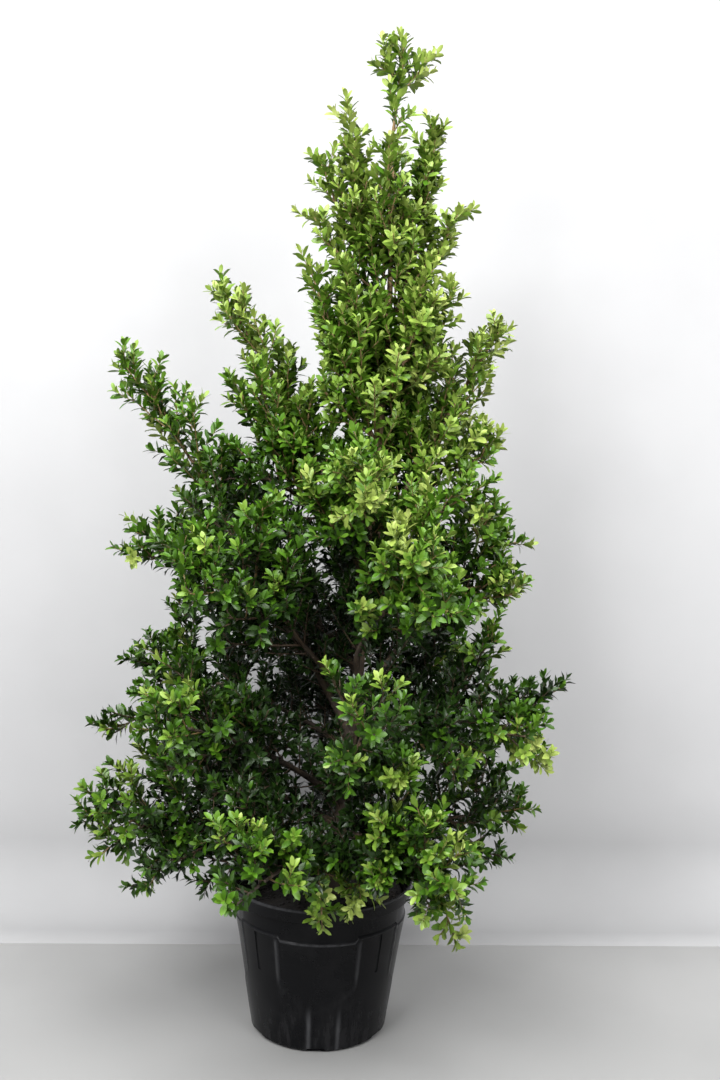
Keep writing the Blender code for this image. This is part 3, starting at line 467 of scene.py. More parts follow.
class BarkSettings(PropertyGroup):
    """The bark's relief and colours."""

    relief: Share(name="Relief", description="Depth of the furrows as a share of a limb's radius",
                  default=0.10, max=0.3)
    old: Colour(name="Old bark", description="Colour of the bark at the trunk's foot",
                default=(0.034, 0.024, 0.016))
    young: Colour(name="Young bark", description="Colour of the bark high on the plant",
                  default=(0.260, 0.170, 0.080))
    # The furrow colour is painted shade deep in the fissures.
    furrow: Colour(name="Furrows", description="Colour deep in the bark",
                   default=(0.022, 0.015, 0.010))


class FoliageSettings(PropertyGroup):
    """Sizes, distances and colours of twigs and leaves."""

    seed: IntProperty(name="Seed", description="Seed of all twigs and leaves", default=4, min=0)
    leaf_length: Length(name="Leaf length", description="Length of a full-grown leaf",
                        default=0.0305, min=0.01, max=0.08)
    leaf_width: Length(name="Leaf width", description="Width of a full-grown leaf",
                       default=0.0132, min=0.005, max=0.04)
    leaf_spacing: Length(name="Leaf spacing", description="Along a twig from leaf to leaf",
                         default=0.0055, min=0.002, max=0.03)
    twig_spacing: Length(name="Twig spacing", description="Along a stem from twig to twig",
                         default=0.0200, min=0.005, max=0.1)
    spur_spacing: Length(name="Spur spacing", description="Along a twig from spur to spur",
                         default=0.0250, min=0.005, max=0.1)
    # The inner leaves' colour is painted shade, dealt to leaves deep in the crown and low down.
    shade: Colour(name="Inner leaves", description="Colour of the leaves deep in the crown",
                  default=(0.0085, 0.0245, 0.0022))
    mature: Colour(name="Mature leaves", description="Colour of most outer leaves",
                   default=(0.051, 0.132, 0.006))
    # The two lightest colours are also dealt high in the crown as painted light.
    bright: Colour(name="This year's leaves", description="Colour of the leaves near the tips",
                   default=(0.212, 0.288, 0.052))
    young: Colour(name="New leaves", description="Colour of the newest leaves",
                  default=(0.275, 0.328, 0.088))
    gloss: Share(name="Leaf roughness", description="Roughness of a mature leaf", default=0.36)


class StageSettings(PropertyGroup):
    """Camera, floor, backdrop and light, with the power of lights in watts."""

    camera_height: Length(name="Camera height", description="Height of the lens", default=1.4105)
    camera_distance: Length(name="Camera distance", description="From the lens to the pot's axis",
                            default=2.695)
    camera_side: Length(name="Camera offset", description="How far right of the pot it stands",
                        default=0.068)
    camera_pitch: Angle(name="Camera pitch", description="How far down the lens looks",
                        default=math.radians(6.81))
    camera_roll: Angle(name="Camera roll", description="Turn of the lens about its line of sight",
                       default=math.radians(1.4))
    lens: FloatProperty(name="Lens", description="Focal length in millimetres", default=42.0,
                        min=10.0, max=200.0)
    key_light: Amount(name="Key light", description="Power of the large light in front",
                      default=238.0)
    fill_light: Amount(name="Fill light", description="Power of the light in front on the right",
                       default=134.0)
    top_light: Amount(name="Top light", description="Power of the light overhead", default=128.0)
    strip_lights: Amount(name="Strip lights", description="Power of each light that edges the pot",
                         default=12.0)
    surround: Amount(name="Surround", description="Strength of the even light from all round",
                     default=0.15)
    floor: Colour(name="Floor", description="Colour of the floor", default=(0.45, 0.45, 0.445))
    wall: Colour(name="Backdrop", description="Colour of the backdrop",
                 default=(0.400, 0.400, 0.406))


# Materials

class Number:
    """A socket that holds a number. Arithmetic on it adds Math nodes to its finish."""

    def __init__(self, finish, socket):
        self.finish = finish
        self.socket = socket

    def _math(self, operation, first, second):
        """The result of one Math node."""
        return self.finish.number("ShaderNodeMath", {"operation": operation}, {0: first, 1: second})

    def __add__(self, other):
        return self._math("ADD", self, other)

    __radd__ = __add__

    def __sub__(self, other):
        return self._math("SUBTRACT", self, other)

    def __rsub__(self, other):
        return self._math("SUBTRACT", other, self)

    def __mul__(self, other):
        return self._math("MULTIPLY", self, other)

    __rmul__ = __mul__

    def between(self, low, high):
        """0 at low or under, 1 at high or over, and smooth from one to the other."""
        return self.finish.number("ShaderNodeMapRange", {"interpolation_type": "SMOOTHSTEP"},
                                  {"Value": self, "From Min": low, "From Max": high})


class Finish:
    """A material while its nodes are laid out."""

    def __init__(self, name):
        self.material = bpy.data.materials.new(name)
        self.material.use_nodes = True
        self.tree = self.material.node_tree
        self.shader = self.tree.nodes["Principled BSDF"]

    def node(self, kind, settings, values, output=0):
        """Add a node: its settings first, then its sockets' values or links. Gives an output."""
        made = self.tree.nodes.new(kind)
        for key, value in settings.items():
            setattr(made, key, value)
        for key, value in values.items():
            self.put(made.inputs[key], value)
        return made.outputs[output]

    def number(self, *node):
        """The same for an output that holds a number."""
        return Number(self, self.node(*node))

    def put(self, socket, value):
        """Set a socket's value, or link what feeds it."""
        if isinstance(value, Number):
            value = value.socket
        if isinstance(value, bpy.types.NodeSocket):
            self.tree.links.new(value, socket)
        elif socket.type == "RGBA":
            socket.default_value = (*value[:3], 1.0)
        else:
            socket.default_value = value

    def place(self):
        """Object coordinates."""
        return self.node("ShaderNodeTexCoord", {}, {}, "Object")

    def marked(self, name, output):
        """What the piece's own attribute of this name says."""
        return self.node("ShaderNodeAttribute", {"attribute_name": name}, {}, output)

    def axis(self, vector, name):
        """One axis of a vector as a number."""
        return self.number("ShaderNodeSeparateXYZ", {}, {0: vector}, name)

    def scaled(self, vector, scale):
        """A vector or a colour scaled axis by axis."""
        return self.node("ShaderNodeVectorMath", {"operation": "MULTIPLY"}, {0: vector, 1: scale})

    def pattern(self, kind, place, scale, values):
        """A texture as a number. Its scale is one number, or one for each axis."""
        if isinstance(scale, tuple):
            place, scale = self.scaled(place, scale), 1.0
        return self.number(kind, {}, {"Vector": place, "Scale": scale, **values})

    def noise(self, place, scale, detail, roughness):
        """Noise as a number."""
        return self.pattern("ShaderNodeTexNoise", place, scale,
                            {"Detail": detail, "Roughness": roughness})

    def cells(self, place, scale):
        """Distance to the nearest of scattered points."""
        return self.pattern("ShaderNodeTexVoronoi", place, scale, {})

    def mix(self, share, first, second):
        """A colour between two others."""
        return self.node("ShaderNodeMix", {"data_type": "RGBA"},
                         {0: share, 6: first, 7: second}, 2)

    def bump(self, height, distance, strength):
        """A bump that feeds the shader's normal."""
        self.wear(Normal=self.node("ShaderNodeBump", {}, {
            "Height": height, "Distance": distance, "Strength": strength}))

    def wear(self, **sockets):
        """Set or link the shader's own sockets, by their names with _ for a blank."""
        for name, value in sockets.items():
            self.put(self.shader.inputs[name.replace("_", " ")], value)
        return self.material


def pot_plastic(settings):
    """Black moulded plastic with dust, dried water marks, faint scuffs and painted highlights."""
    finish = Finish("black_plastic")
    place = finish.place()
    height = finish.axis(place, "Z")
    cloudy = finish.noise(place, 16.0, 5.0, 0.62)
    runs = finish.noise(place, (60.0, 60.0, 7.0), 4.0, 0.6)
    scuffs = finish.noise(place, (24.0, 24.0, 240.0), 3.0, 0.7)
    low_down = 1.0 - height.between(0.0, 0.16)
    dust = cloudy.between(0.44, 0.80) * 0.14 + low_down * runs.between(0.40, 0.75) * 0.34
    scuffed = scuffs.between(0.64, 0.82) * cloudy.between(0.35, 0.70)
    wear_and_highlight = dust * 0.75 + scuffed * 0.15
    colour = finish.mix(wear_and_highlight, settings.plastic_colour, settings.dust_colour)
    # Painted highlight: the plastic is lighter on the ledge, the beads, the lip's top and two low
    # streaks, where lamps would glint.
    edge = Number(finish, finish.marked("worn_edge", "Fac"))
    highlight_mix = edge * (0.55 + runs.between(0.35, 0.65) * 0.45)
    colour = finish.mix(highlight_mix, colour, settings.highlight_colour)
    grain = finish.noise(place, 900.0, 2.0, 0.6)
    finish.bump(grain * 0.35 + cloudy * 0.40 + scuffed * 0.15, 0.00025, 0.45)
    return finish.wear(Base_Color=colour, Roughness=settings.roughness + wear_and_highlight * 0.34,
                       Specular_IOR_Level=0.11)


def soil_finish(settings):
    """Damp, crumbly potting soil with paler dry crumbs."""
    finish = Finish("potting_soil")
    place = finish.place()
    patches = finish.noise(place, 34.0, 5.0, 0.65)
    crumbs = finish.cells(place, 260.0)
    fibres = finish.noise(place, (300.0, 60.0, 300.0), 3.0, 0.7)
    dry = patches.between(0.48, 0.74) * 0.7 + fibres.between(0.62, 0.80) * 0.4
    finish.bump(crumbs * 0.5 + patches * 0.5 + fibres * 0.3, 0.0016, 0.8)
    return finish.wear(Base_Color=finish.mix(dry, settings.dark, settings.pale),
                       Roughness=1.0 - dry * 0.12)


def bark_finish(settings):
    """Holly bark: brown and furrowed low down, smoother and tan where it is young."""
    finish = Finish("holly_bark")
    place = finish.place()
    along = finish.marked("bark_place", "Vector")
    streaks = finish.noise(along, (420.0, 420.0, 36.0), 4.0, 0.62)
    fissures = finish.noise(along, (190.0, 190.0, 22.0), 3.0, 0.55)
    pores = finish.cells(along, (300.0, 300.0, 420.0))
    blotches = finish.noise(place, 22.0, 4.0, 0.6)
    youth = finish.axis(place, "Z").between(0.85, 1.60) * 0.80 + blotches.between(0.40, 0.70) * 0.20
    deep = 1.0 - fissures.between(0.34, 0.50)
    # Painted shade in the fissures, with random darker streaks: the bark is blended towards its
    # furrow colour there.
    shaded = finish.mix(deep * 0.75 + streaks.between(0.50, 0.72) * 0.30,
                        finish.mix(youth, settings.old, settings.young), settings.furrow)
    lichen = finish.noise(place, 70.0, 3.0, 0.6).between(0.60, 0.72)
    grey = tuple(0.45 * a + 0.10 for a in settings.young)
    finish.bump(streaks * 0.5 + fissures * 0.8 - (1.0 - pores.between(0.05, 0.30)) * 0.2,
                0.0010, 0.9)
    return finish.wear(Base_Color=finish.mix(lichen * 0.40, shaded, grey),
                       Roughness=0.88 - lichen * 0.08)


def blended(first, second, share):
    """A colour between two others, even to the eye."""
    return tuple((a ** 0.45 * (1.0 - share) + b ** 0.45 * share) ** (1.0 / 0.45)
                 for a, b in zip(first, second))


def leaf_finishes(settings):
    """One plain finish for each leaf tone, from the painted shade of inner leaves to the newest
    ones, the upper tones also painted light.
    """
    stops = (settings.shade, settings.mature, settings.bright, settings.young)
    made = []
    for tone in range(TONES):
        place = tone / (TONES - 1) * (len(stops) - 1)
        low = min(int(place), len(stops) - 2)
        colour = blended(stops[low], stops[low + 1], place - low)
        roughness = settings.gloss + 0.10 * tone / (TONES - 1)
        made.append(Finish(f"leaf_tone_{tone:02d}").wear(
            Base_Color=colour, Roughness=roughness, Specular_IOR_Level=0.33))
    return made


def twig_finishes():
    """Plain finishes for twigs: brown, tan and green, dealt out by their leaves' tone, so by age
    and by painted shade and light.
    """
    colours = {"twig_brown": (0.058, 0.037, 0.020), "twig_tan": (0.170, 0.115, 0.045),
               "twig_green": (0.180, 0.260, 0.060)}
    return [Finish(name).wear(Base_Color=colour, Roughness=0.62)
            for name, colour in colours.items()]


def stage_finish(name, colour, roughness, painted_shades):
    """A pale, faintly mottled paint with painted shade that makes it darker along given axes.

    It is clear from behind, so that the stage doesn't hide the plant from any side."""
    finish = Finish(name)
    cloudy = finish.noise(finish.place(), 2.4, 4.0, 0.5)
    darker = tuple(0.94 * a for a in colour)
    tone = finish.mix(cloudy.between(0.3, 0.7), colour, darker)
    # Painted shade, each a darker copy of the paint blended in along one axis.
    for axis, low, high, share in painted_shades:
        part = finish.axis(finish.place(), axis).between(low, high)
        tone = finish.mix(part, finish.scaled(tone, (share, share, share)), tone)
    behind = Number(finish, finish.node("ShaderNodeNewGeometry", {}, {}, "Backfacing"))
    finish.material.use_transparent_shadow = False
    return finish.wear(Base_Color=tone, Roughness=roughness, Alpha=1.0 - behind)


def smooth_step(value, low, high):
    """0 at low or under, 1 at high or over, and smooth from one to the other."""
    x = min(1.0, max(0.0, (value - low) / (high - low)))
    return x * x * (3.0 - 2.0 * x)


# Working with objects as by hand

def select_none():
    """Leave edit mode and select nothing."""
    if bpy.context.object and bpy.context.object.mode != "OBJECT":
        bpy.ops.object.mode_set(mode="OBJECT")
    bpy.ops.object.select_all(action="DESELECT")


def make_active(obj):
    """Select one object alone and make it active."""
    select_none()
    obj.select_set(True)
    bpy.context.view_layer.objects.active = obj


def apply_modifier(obj, name, kind, **settings):
    """Add a modifier with its settings and apply it."""
    make_active(obj)
    modifier = obj.modifiers.new(name, kind)
    for key, value in settings.items():
        setattr(modifier, key, value)
    bpy.ops.object.modifier_apply(modifier=name)


def settle(obj):
    """Bake the object's place, turn and scale into its mesh."""
    make_active(obj)
    bpy.ops.object.transform_apply(location=True, rotation=True, scale=True)


def disc(name, radius, height, sides):
    """A level disc, left in edit mode with all of it selected."""
    select_none()
    bpy.ops.mesh.primitive_circle_add(vertices=sides, radius=radius, fill_type="NGON",
                                      location=(0.0, 0.0, height))
    made = bpy.context.object
    made.name = name
    settle(made)
    bpy.ops.object.mode_set(mode="EDIT")
    bpy.ops.mesh.select_all(action="SELECT")
    return made


def draw_out(ring, next_ring):
    """Extrude the selected faces from one ring to the next, each a radius and a height."""
    bpy.ops.mesh.extrude_region_move(
        TRANSFORM_OT_translate={"value": (0.0, 0.0, next_ring[1] - ring[1])})
    factor = next_ring[0] / ring[0]
    bpy.ops.transform.resize(value=(factor, factor, 1.0), center_override=(0.0, 0.0, next_ring[1]))


def leave_closed():
    """Turn all faces outwards and leave edit mode."""
    bpy.ops.mesh.select_all(action="SELECT")
    bpy.ops.mesh.normals_make_consistent(inside=False)
    bpy.ops.object.mode_set(mode="OBJECT")


def finish_piece(obj, nodes, materials):
    """Dress a piece and tie it to the part."""
    for material in materials:
        obj.data.materials.append(material)
    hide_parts(*nodes)
    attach(obj, BODY)


def mesh_piece(name, points, loops, sizes, tones=None):
    """A piece from arrays: corner places, the faces' corners one after another, face sizes."""
    mesh = bpy.data.meshes.new(name)
    mesh.vertices.add(len(points))
    mesh.vertices.foreach_set("co", np.ascontiguousarray(points, np.float32).ravel())
    mesh.loops.add(len(loops))
    mesh.loops.foreach_set("vertex_index", np.ascontiguousarray(loops, np.int32))
    mesh.polygons.add(len(sizes))
    starts = np.concatenate(([0], np.cumsum(sizes)[:-1])).astype(np.int32)
    mesh.polygons.foreach_set("loop_start", starts)
    mesh.polygons.foreach_set("loop_total", np.ascontiguousarray(sizes, np.int32))
    if tones is not None:
        mesh.polygons.foreach_set("material_index", np.ascontiguousarray(tones, np.int32))
    mesh.polygons.foreach_set("use_smooth", np.full(len(sizes), True))
    mesh.update(calc_edges=True)
    obj = bpy.data.objects.new(name, mesh)
    bpy.context.scene.collection.objects.link(obj)
    return obj


# Pot

def wall_radius(z):
    """Outer radius of the ribbed wall at height z."""
    return FOOT_RADIUS + (COLLAR_RADIUS + LEDGE - FOOT_RADIUS) * z / LEDGE_HEIGHT


def pot_outline():
    """Radius and height of the pot's rings, from its foot up the outside and down the inside."""
    under_lip = POT_HEIGHT - RIM_BAND
    outline = [(FOOT_RADIUS - FOOT_CHAMFER, 0.0), (FOOT_RADIUS + 0.001, FOOT_CHAMFER)]
    for i in range(1, WALL_RINGS):
        z = FOOT_CHAMFER + (LEDGE_HEIGHT - 0.004 - FOOT_CHAMFER) * i / (WALL_RINGS - 1)
        outline.append((wall_radius(z), z))
    outline += [
        (wall_radius(LEDGE_HEIGHT - 0.001), LEDGE_HEIGHT - 0.001),
        (COLLAR_RADIUS + LEDGE - 0.0010, LEDGE_HEIGHT + 0.0004),
        (COLLAR_RADIUS - 0.0006, LEDGE_HEIGHT + 0.0032),
        (COLLAR_RADIUS - 0.0010, LEDGE_HEIGHT + 0.0050),
        (COLLAR_RADIUS + 0.0010, under_lip - 0.0010),
        (COLLAR_RADIUS + 0.0030, under_lip + 0.0006),
        (RIM_RADIUS - 0.0040, under_lip),
        (RIM_RADIUS - 0.0028, under_lip + 0.0012),
        (RIM_RADIUS - 0.0006, POT_HEIGHT - 0.0065),
        (RIM_RADIUS - 0.0004, POT_HEIGHT - 0.0040),
        (RIM_RADIUS - 0.0006, POT_HEIGHT - 0.0012),
        (RIM_RADIUS - 0.0022, POT_HEIGHT),
        (RIM_RADIUS - LIP_THICKNESS + 0.0012, POT_HEIGHT),
        (RIM_RADIUS - LIP_THICKNESS, POT_HEIGHT - 0.0012),
        (RIM_RADIUS - LIP_THICKNESS - 0.0040, POT_HEIGHT - 0.0080),
        (COLLAR_RADIUS - WALL + 0.0020, under_lip + 0.0030),
        (COLLAR_RADIUS - WALL, under_lip),
        (COLLAR_RADIUS - WALL - 0.0010, LEDGE_HEIGHT),
        (wall_radius(FLOOR_THICKNESS) - WALL, FLOOR_THICKNESS),
    ]
    return outline


def turned_shell(name, outline, sides):
    """A disc drawn at the first ring and extruded ring by ring along the outline."""
    shell = disc(name, *outline[0], sides)
    for ring, next_ring in zip(outline, outline[1:]):
        draw_out(ring, next_ring)
    leave_closed()
    return shell


def panel_shape(angle, z):
    """How far in a panel a place on the wall is, and how near its edge, both from 0 to 1."""
    step = 360.0 / PANELS
    turn = abs((math.degrees(angle) + 0.5 * step) % step - 0.5 * step)
    low, high = PANEL_WIDTHS
    edge = low + (high - low) * smooth_step(z, *PANEL_WAIST)
    inside = 1.0 - smooth_step(turn, edge - 1.2, edge + 1.2)
    bead = smooth_step(1.0 - abs(turn - edge - 2.2) / 1.9, 0.0, 1.0)
    bead *= 0.35 + 0.65 * smooth_step(z, PANEL_WAIST[1], PANEL_WAIST[1] + 0.03)
    return inside, bead


def shell_places(shell):
    """Each vertex with its radius, height, angle from the front, and place in a panel."""
    for vert in shell.data.vertices:
        x, y, z = vert.co
        angle = math.atan2(y, x) - FRONT
        yield vert, math.hypot(x, y), z, angle, *panel_shape(angle, z)


def press_panels(shell):
    """Set the panels back in the wall, raise the beads along them and lower the ledge there."""
    for vert, radius, z, _, inside, bead in shell_places(shell):
        innermost = wall_radius(min(z, LEDGE_HEIGHT)) - 0.0046
        if z > LEDGE_HEIGHT:
            innermost = max(innermost, COLLAR_RADIUS - 0.0012)
        if radius < innermost or not FOOT_CHAMFER + 0.001 <= z <= LEDGE_HEIGHT + LEDGE_END:
            continue
        if z < LEDGE_HEIGHT - 0.0005 and radius > wall_radius(z) - 0.001:
            fade = smooth_step(z, 0.010, 0.050)
            factor = 1.0 + (PANEL_BEAD * bead - PANEL_DEPTH * inside) * fade / radius
            vert.co.x *= factor
            vert.co.y *= factor
        vert.co.z -= PANEL_DROP * inside * smooth_step(z, LEDGE_HEIGHT - 0.070, LEDGE_HEIGHT)


def mark_painted_highlights(shell):
    """Mark from 0 to 1 where highlights are painted on the plastic: ledge, beads, lip and two
    streaks.
    """
    values = []
    for _, radius, z, angle, inside, bead in shell_places(shell):
        wear_and_highlight = 0.0
        if z > POT_HEIGHT - 0.0045 and radius > RIM_RADIUS - 0.003:
            wear_and_highlight = 0.45
        elif z < LEDGE_HEIGHT + LEDGE_END and radius > wall_radius(z) - 0.005:
            off_ledge = abs(z - LEDGE_HEIGHT + PANEL_DROP * inside)
            wear_and_highlight = 0.40 * (1.0 - smooth_step(off_ledge, 0.0012, 0.0036)) * max(inside, 0.3)
            below = 1.0 - smooth_step(z, LEDGE_HEIGHT - 0.012, LEDGE_HEIGHT - 0.004)
            wear_and_highlight = max(wear_and_highlight, 0.42 * bead * below * smooth_step(z, 0.09, 0.20))
            turn = math.degrees((angle + math.pi) % math.tau - math.pi)
            # Two pale streaks low on the front are painted reflections of the lamps.
            for middle in HIGHLIGHT_STREAKS:
                highlight_streak = smooth_step(1.0 - abs(turn - middle) / 2.6, 0.0, 1.0)
                wear_and_highlight = max(wear_and_highlight, 0.55 * highlight_streak * (1.0 - smooth_step(z, 0.060, 0.115)))
        values.append(wear_and_highlight)
    marks = shell.data.attributes.new("worn_edge", "FLOAT", "POINT")
    marks.data.foreach_set("value", values)


def cutting_block(size, place, lean, turn, bevel):
    """A block with rounded edges, leant and turned to its place about the pot."""
    select_none()
    bpy.ops.mesh.primitive_cube_add(size=1.0, location=place, rotation=(0.0, lean, 0.0),
                                    scale=size)
    block = bpy.context.object
    settle(block)
    block.rotation_euler.z = turn
    settle(block)
    apply_modifier(block, "round", "BEVEL", width=bevel, segments=2)
    return block


def cut_pot(shell):
    """Cut the grooves down the wall and the notches in the foot."""
    slope = math.atan2(wall_radius(LEDGE_HEIGHT) - FOOT_RADIUS, LEDGE_HEIGHT)
    middle = LEDGE_HEIGHT - 0.5 * GROOVE_LENGTH - GROOVE_TOP
    place = (wall_radius(middle), 0.0, middle)
    groove = (2.0 * GROOVE_DEPTH, GROOVE_WIDTH, GROOVE_LENGTH)
    notch = (2.0 * NOTCH_DEPTH, NOTCH_WIDTH, 2.0 * NOTCH_HEIGHT)
    blocks = [cutting_block(groove, place, slope, FRONT + (i + 0.5) * math.tau / GROOVES,
                            GROOVE_BEVEL) for i in range(GROOVES)]
    blocks += [cutting_block(notch, (FOOT_RADIUS, 0.0, 0.0), 0.0, FRONT + i * math.tau / NOTCHES,
                             NOTCH_BEVEL) for i in range(NOTCHES)]
    make_active(blocks[0])
    for block in blocks[1:]:
        block.select_set(True)
    bpy.ops.object.join()
    cutter = bpy.context.object
    apply_modifier(shell, "cut", "BOOLEAN", operation="DIFFERENCE", solver="EXACT", object=cutter)
    bpy.data.objects.remove(cutter, do_unlink=True)


class HOLLY_OT_pot(Operator):
    """Build the nursery pot"""

    bl_idname = "potted_holly.pot"
    bl_label = "Pot"

    def execute(self, context):
        shell = turned_shell("nursery_pot", pot_outline(), POT_SIDES)
        press_panels(shell)
        cut_pot(shell)
        mark_painted_highlights(shell)
        make_active(shell)
        bpy.ops.object.shade_smooth_by_angle(angle=math.radians(28.0))
        finish_piece(shell, ["pot"], [pot_plastic(context.scene.holly_pot)])
        return {"FINISHED"}


# Soil

def soil_height(x, y, relief):
    """The soil's surface: higher at the trunk, with lumps of several sizes."""
    mound = SOIL_CROWN * max(0.0, 1.0 - math.hypot(x, y) / 0.16)
    lumps = 0.0
    for scale, share in SOIL_LUMPS:
        lumps += share * noise.noise(Vector((x * scale, y * scale, 3.7)))
    return SOIL_TOP + mound + relief * lumps


def soil_plug(settings, foot, edge):
    """The soil from the pot's floor up to its lumpy top, with its radius at either end."""
    soil = disc("potting_soil", *foot, SOIL_SIDES)
    draw_out(foot, (edge, SOIL_TOP))
    for _ in range(SOIL_RINGS):
        bpy.ops.mesh.inset(thickness=edge / (SOIL_RINGS + 1), depth=0.0)
    bpy.ops.mesh.poke()
    leave_closed()
    for vert in soil.data.vertices:
        if vert.co.z > SOIL_TOP - 0.001 and math.hypot(vert.co.x, vert.co.y) < edge - 0.001:
            vert.co.z = soil_height(vert.co.x, vert.co.y, settings.relief)
    return soil


def strew_crumbs(soil, settings, edge):
    """Lay loose crumbs and chips on the soil."""
    rng = random.Random(11)
    crumbs = bmesh.new()
    crumbs.from_mesh(soil.data)
    for _ in range(settings.crumbs):
        out = (edge - 0.010) * math.sqrt(rng.random())
        turn = rng.uniform(0.0, math.tau)
        x, y = out * math.cos(turn), out * math.sin(turn)
        size = rng.uniform(*CRUMB_SIZES)
        made = bmesh.ops.create_icosphere(crumbs, subdivisions=1, radius=size)["verts"]
        stretch = Vector((rng.uniform(0.7, 1.9), rng.uniform(0.6, 1.1), rng.uniform(0.4, 0.8)))
        spin = rng.uniform(0.0, math.tau)
        c, s = math.cos(spin), math.sin(spin)
        z = soil_height(x, y, settings.relief) + 0.2 * size
        for vert in made:
            lumpy = 1.0 + 0.35 * noise.noise(vert.co * 900.0 + Vector((x, y, 0.0)) * 100.0)
            local = Vector(a * b * lumpy for a, b in zip(vert.co, stretch))
            vert.co = Vector((x + local.x * c - local.y * s, y + local.x * s + local.y * c,
                              z + local.z))
    crumbs.to_mesh(soil.data)
    crumbs.free()


class HOLLY_OT_soil(Operator):
    """Build the soil in the pot"""

    bl_idname = "potted_holly.soil"
    bl_label = "Soil"

    def execute(self, context):
        settings = context.scene.holly_soil
        foot = (wall_radius(FLOOR_THICKNESS) - WALL - TOUCH, FLOOR_THICKNESS + TOUCH)
        inner_top = COLLAR_RADIUS - WALL - 0.0012
        edge = foot[0] + (inner_top - foot[0]) * (SOIL_TOP - FLOOR_THICKNESS) / (
            POT_HEIGHT - RIM_BAND - FLOOR_THICKNESS)
        soil = soil_plug(settings, foot, edge)
        strew_crumbs(soil, settings, edge)
        make_active(soil)
        bpy.ops.object.shade_smooth()
        finish_piece(soil, ["soil"], [soil_finish(settings)])
        return {"FINISHED"}


# Lines

def unit(vectors):
    """Vectors of length 1."""
    return vectors / np.maximum(np.linalg.norm(vectors, axis=-1, keepdims=True), 1e-9)


def level_side(heading):
    """A level direction square to a heading."""
    side = np.cross(heading, UP)
    length = np.linalg.norm(side)
    return side / length if length > 1e-3 else np.array((1.0, 0.0, 0.0))


def steps_of(line):
    """The lengths from point to point of a line."""
    return np.linalg.norm(np.diff(line, axis=0), axis=1)


def line_length(line):
    """The length of a line of points."""
    return float(steps_of(line).sum())


def distances(line):
    """How far along a line each of its points is."""
    return np.concatenate(([0.0], np.cumsum(steps_of(line))))


def read_off(x, xs, rows):
    """Points or headings at x, where each of the rows stands at one of the xs."""
    return np.stack([np.interp(x, xs, rows[:, k]) for k in range(3)], -1)


def tube_faces(rings, sides):
    """A tube's faces, as corner numbers and face sizes: its wall, its pointed end, its root."""
    ring = np.arange(sides)
    beside = (ring + 1) % sides
    rows = np.arange(rings - 1)[:, None] * sides
    wall = np.stack((rows + ring, rows + beside, rows + sides + beside, rows + sides + ring), 2)
    last = (rings - 1) * sides
    end = np.stack((last + ring, last + beside, np.full(sides, rings * sides)), 1)
    sizes = np.concatenate((np.full((rings - 1) * sides, 4), np.full(sides, 3), [sides]))
    return np.concatenate((wall.ravel(), end.ravel(), ring[::-1])), sizes


# Limbs

def trunk_point(z):
    """The trunk's axis at height z."""
    share = (z - TRUNK_BASE_Z) / (TRUNK_TOP_Z - TRUNK_BASE_Z)
    lean = TRUNK_LEAN * math.sin(0.5 * math.pi * min(1.0, share * 1.15))
    sway = TRUNK_SWAY * math.sin(3.0 * math.pi * share)
    return np.array((TRUNK_FOOT[0] + lean + 0.5 * sway, TRUNK_FOOT[1] + sway, z))


def trunk_radius(z):
    """The trunk's radius at height z: an even taper with a flare at the soil."""
    height = z - TRUNK_BASE_Z
    share = max(0.0, height / (TRUNK_TOP_Z - TRUNK_BASE_Z))
    taper = TRUNK_FOOT_RADIUS + (TRUNK_TIP_RADIUS - TRUNK_FOOT_RADIUS) * share ** TRUNK_TAPER
    return taper + FLARE_RADIUS * math.exp(-max(0.0, height) / FLARE_HEIGHT)


class Limb(NamedTuple):
    """A bough and the stem of its mass on one line, by share s from 0 to 1."""

    name: str
    root: np.ndarray
    tip: np.ndarray
    bend: float
    arch: float
    sway: float
    spread: float
    stem_start: float

    def points(self, s):
        """Places on the limb's line at shares s of its way out."""
        s = np.atleast_1d(np.asarray(s, float))[:, None]
        run = self.tip - self.root
        rise = run[2]
        run = run * (1.0, 1.0, 0.0)
        climb = rise * s ** self.bend + self.arch * np.sin(math.pi * s)
        wander = self.sway * np.sin(2.2 * math.pi * s) * (1.0 - s)
        return self.root + run * s + UP * climb + level_side(run) * wander

    def length(self):
        """The limb's length from its root to its tip."""
        return line_length(self.points(np.linspace(0.0, 1.0, 40)))

    def stem(self, start, count):
        """Places along the limb from share start to where its wood ends."""
        return self.points(np.linspace(start, 1.0 - LEAF_ALLOWANCE / self.length(), count))


def limb_from(ring, index, rng):
    """One limb of a ring, from the trunk's axis to its tip."""
    angle = math.radians(ring.first_angle + index * ring.angle_step
                         + rng.uniform(-ANGLE_SPREAD, ANGLE_SPREAD))
    reach = ring.reach * rng.uniform(*REACHES)
    if ring.count == 1:
        angle = math.radians(ring.first_angle)
        reach = ring.reach
    tip_height = ring.tip_height + ring.count * TIP_SPREAD * rng.uniform(-1.0, 1.0)
    rank = 2 * index % ring.count + 2 * index // ring.count * (1 - ring.count % 2)
    root = trunk_point(ring.root_height + rank * ring.root_step)
    tip = np.array((ring.centre_x + math.cos(angle) * reach, math.sin(angle) * reach, tip_height))
    name = ring.name if ring.count == 1 else f"{ring.name}_{index + 1}"
    start = BOUGH_SHARE if ring.has_boughs else 0.0
    sway = SWAY * rng.uniform(-1.0, 1.0) if ring.has_boughs else 0.0
    return Limb(name, root, tip, ring.bend, ring.arch, sway, ring.spread, start)


def plan_limbs():
    """Every limb, ring by ring, then the leader."""
    rng = random.Random(LIMB_SEED)
    limbs = [limb_from(ring, index, rng) for ring in RINGS for index in range(ring.count)]
    root = trunk_point(TRUNK_TOP_Z) - UP * LEADER_ROOT
    limbs.append(Limb("leader", root, LEADER_TIP, 1.0, 0.0, LEADER_SWAY, LEADER_SPREAD, 0.0))
    return limbs


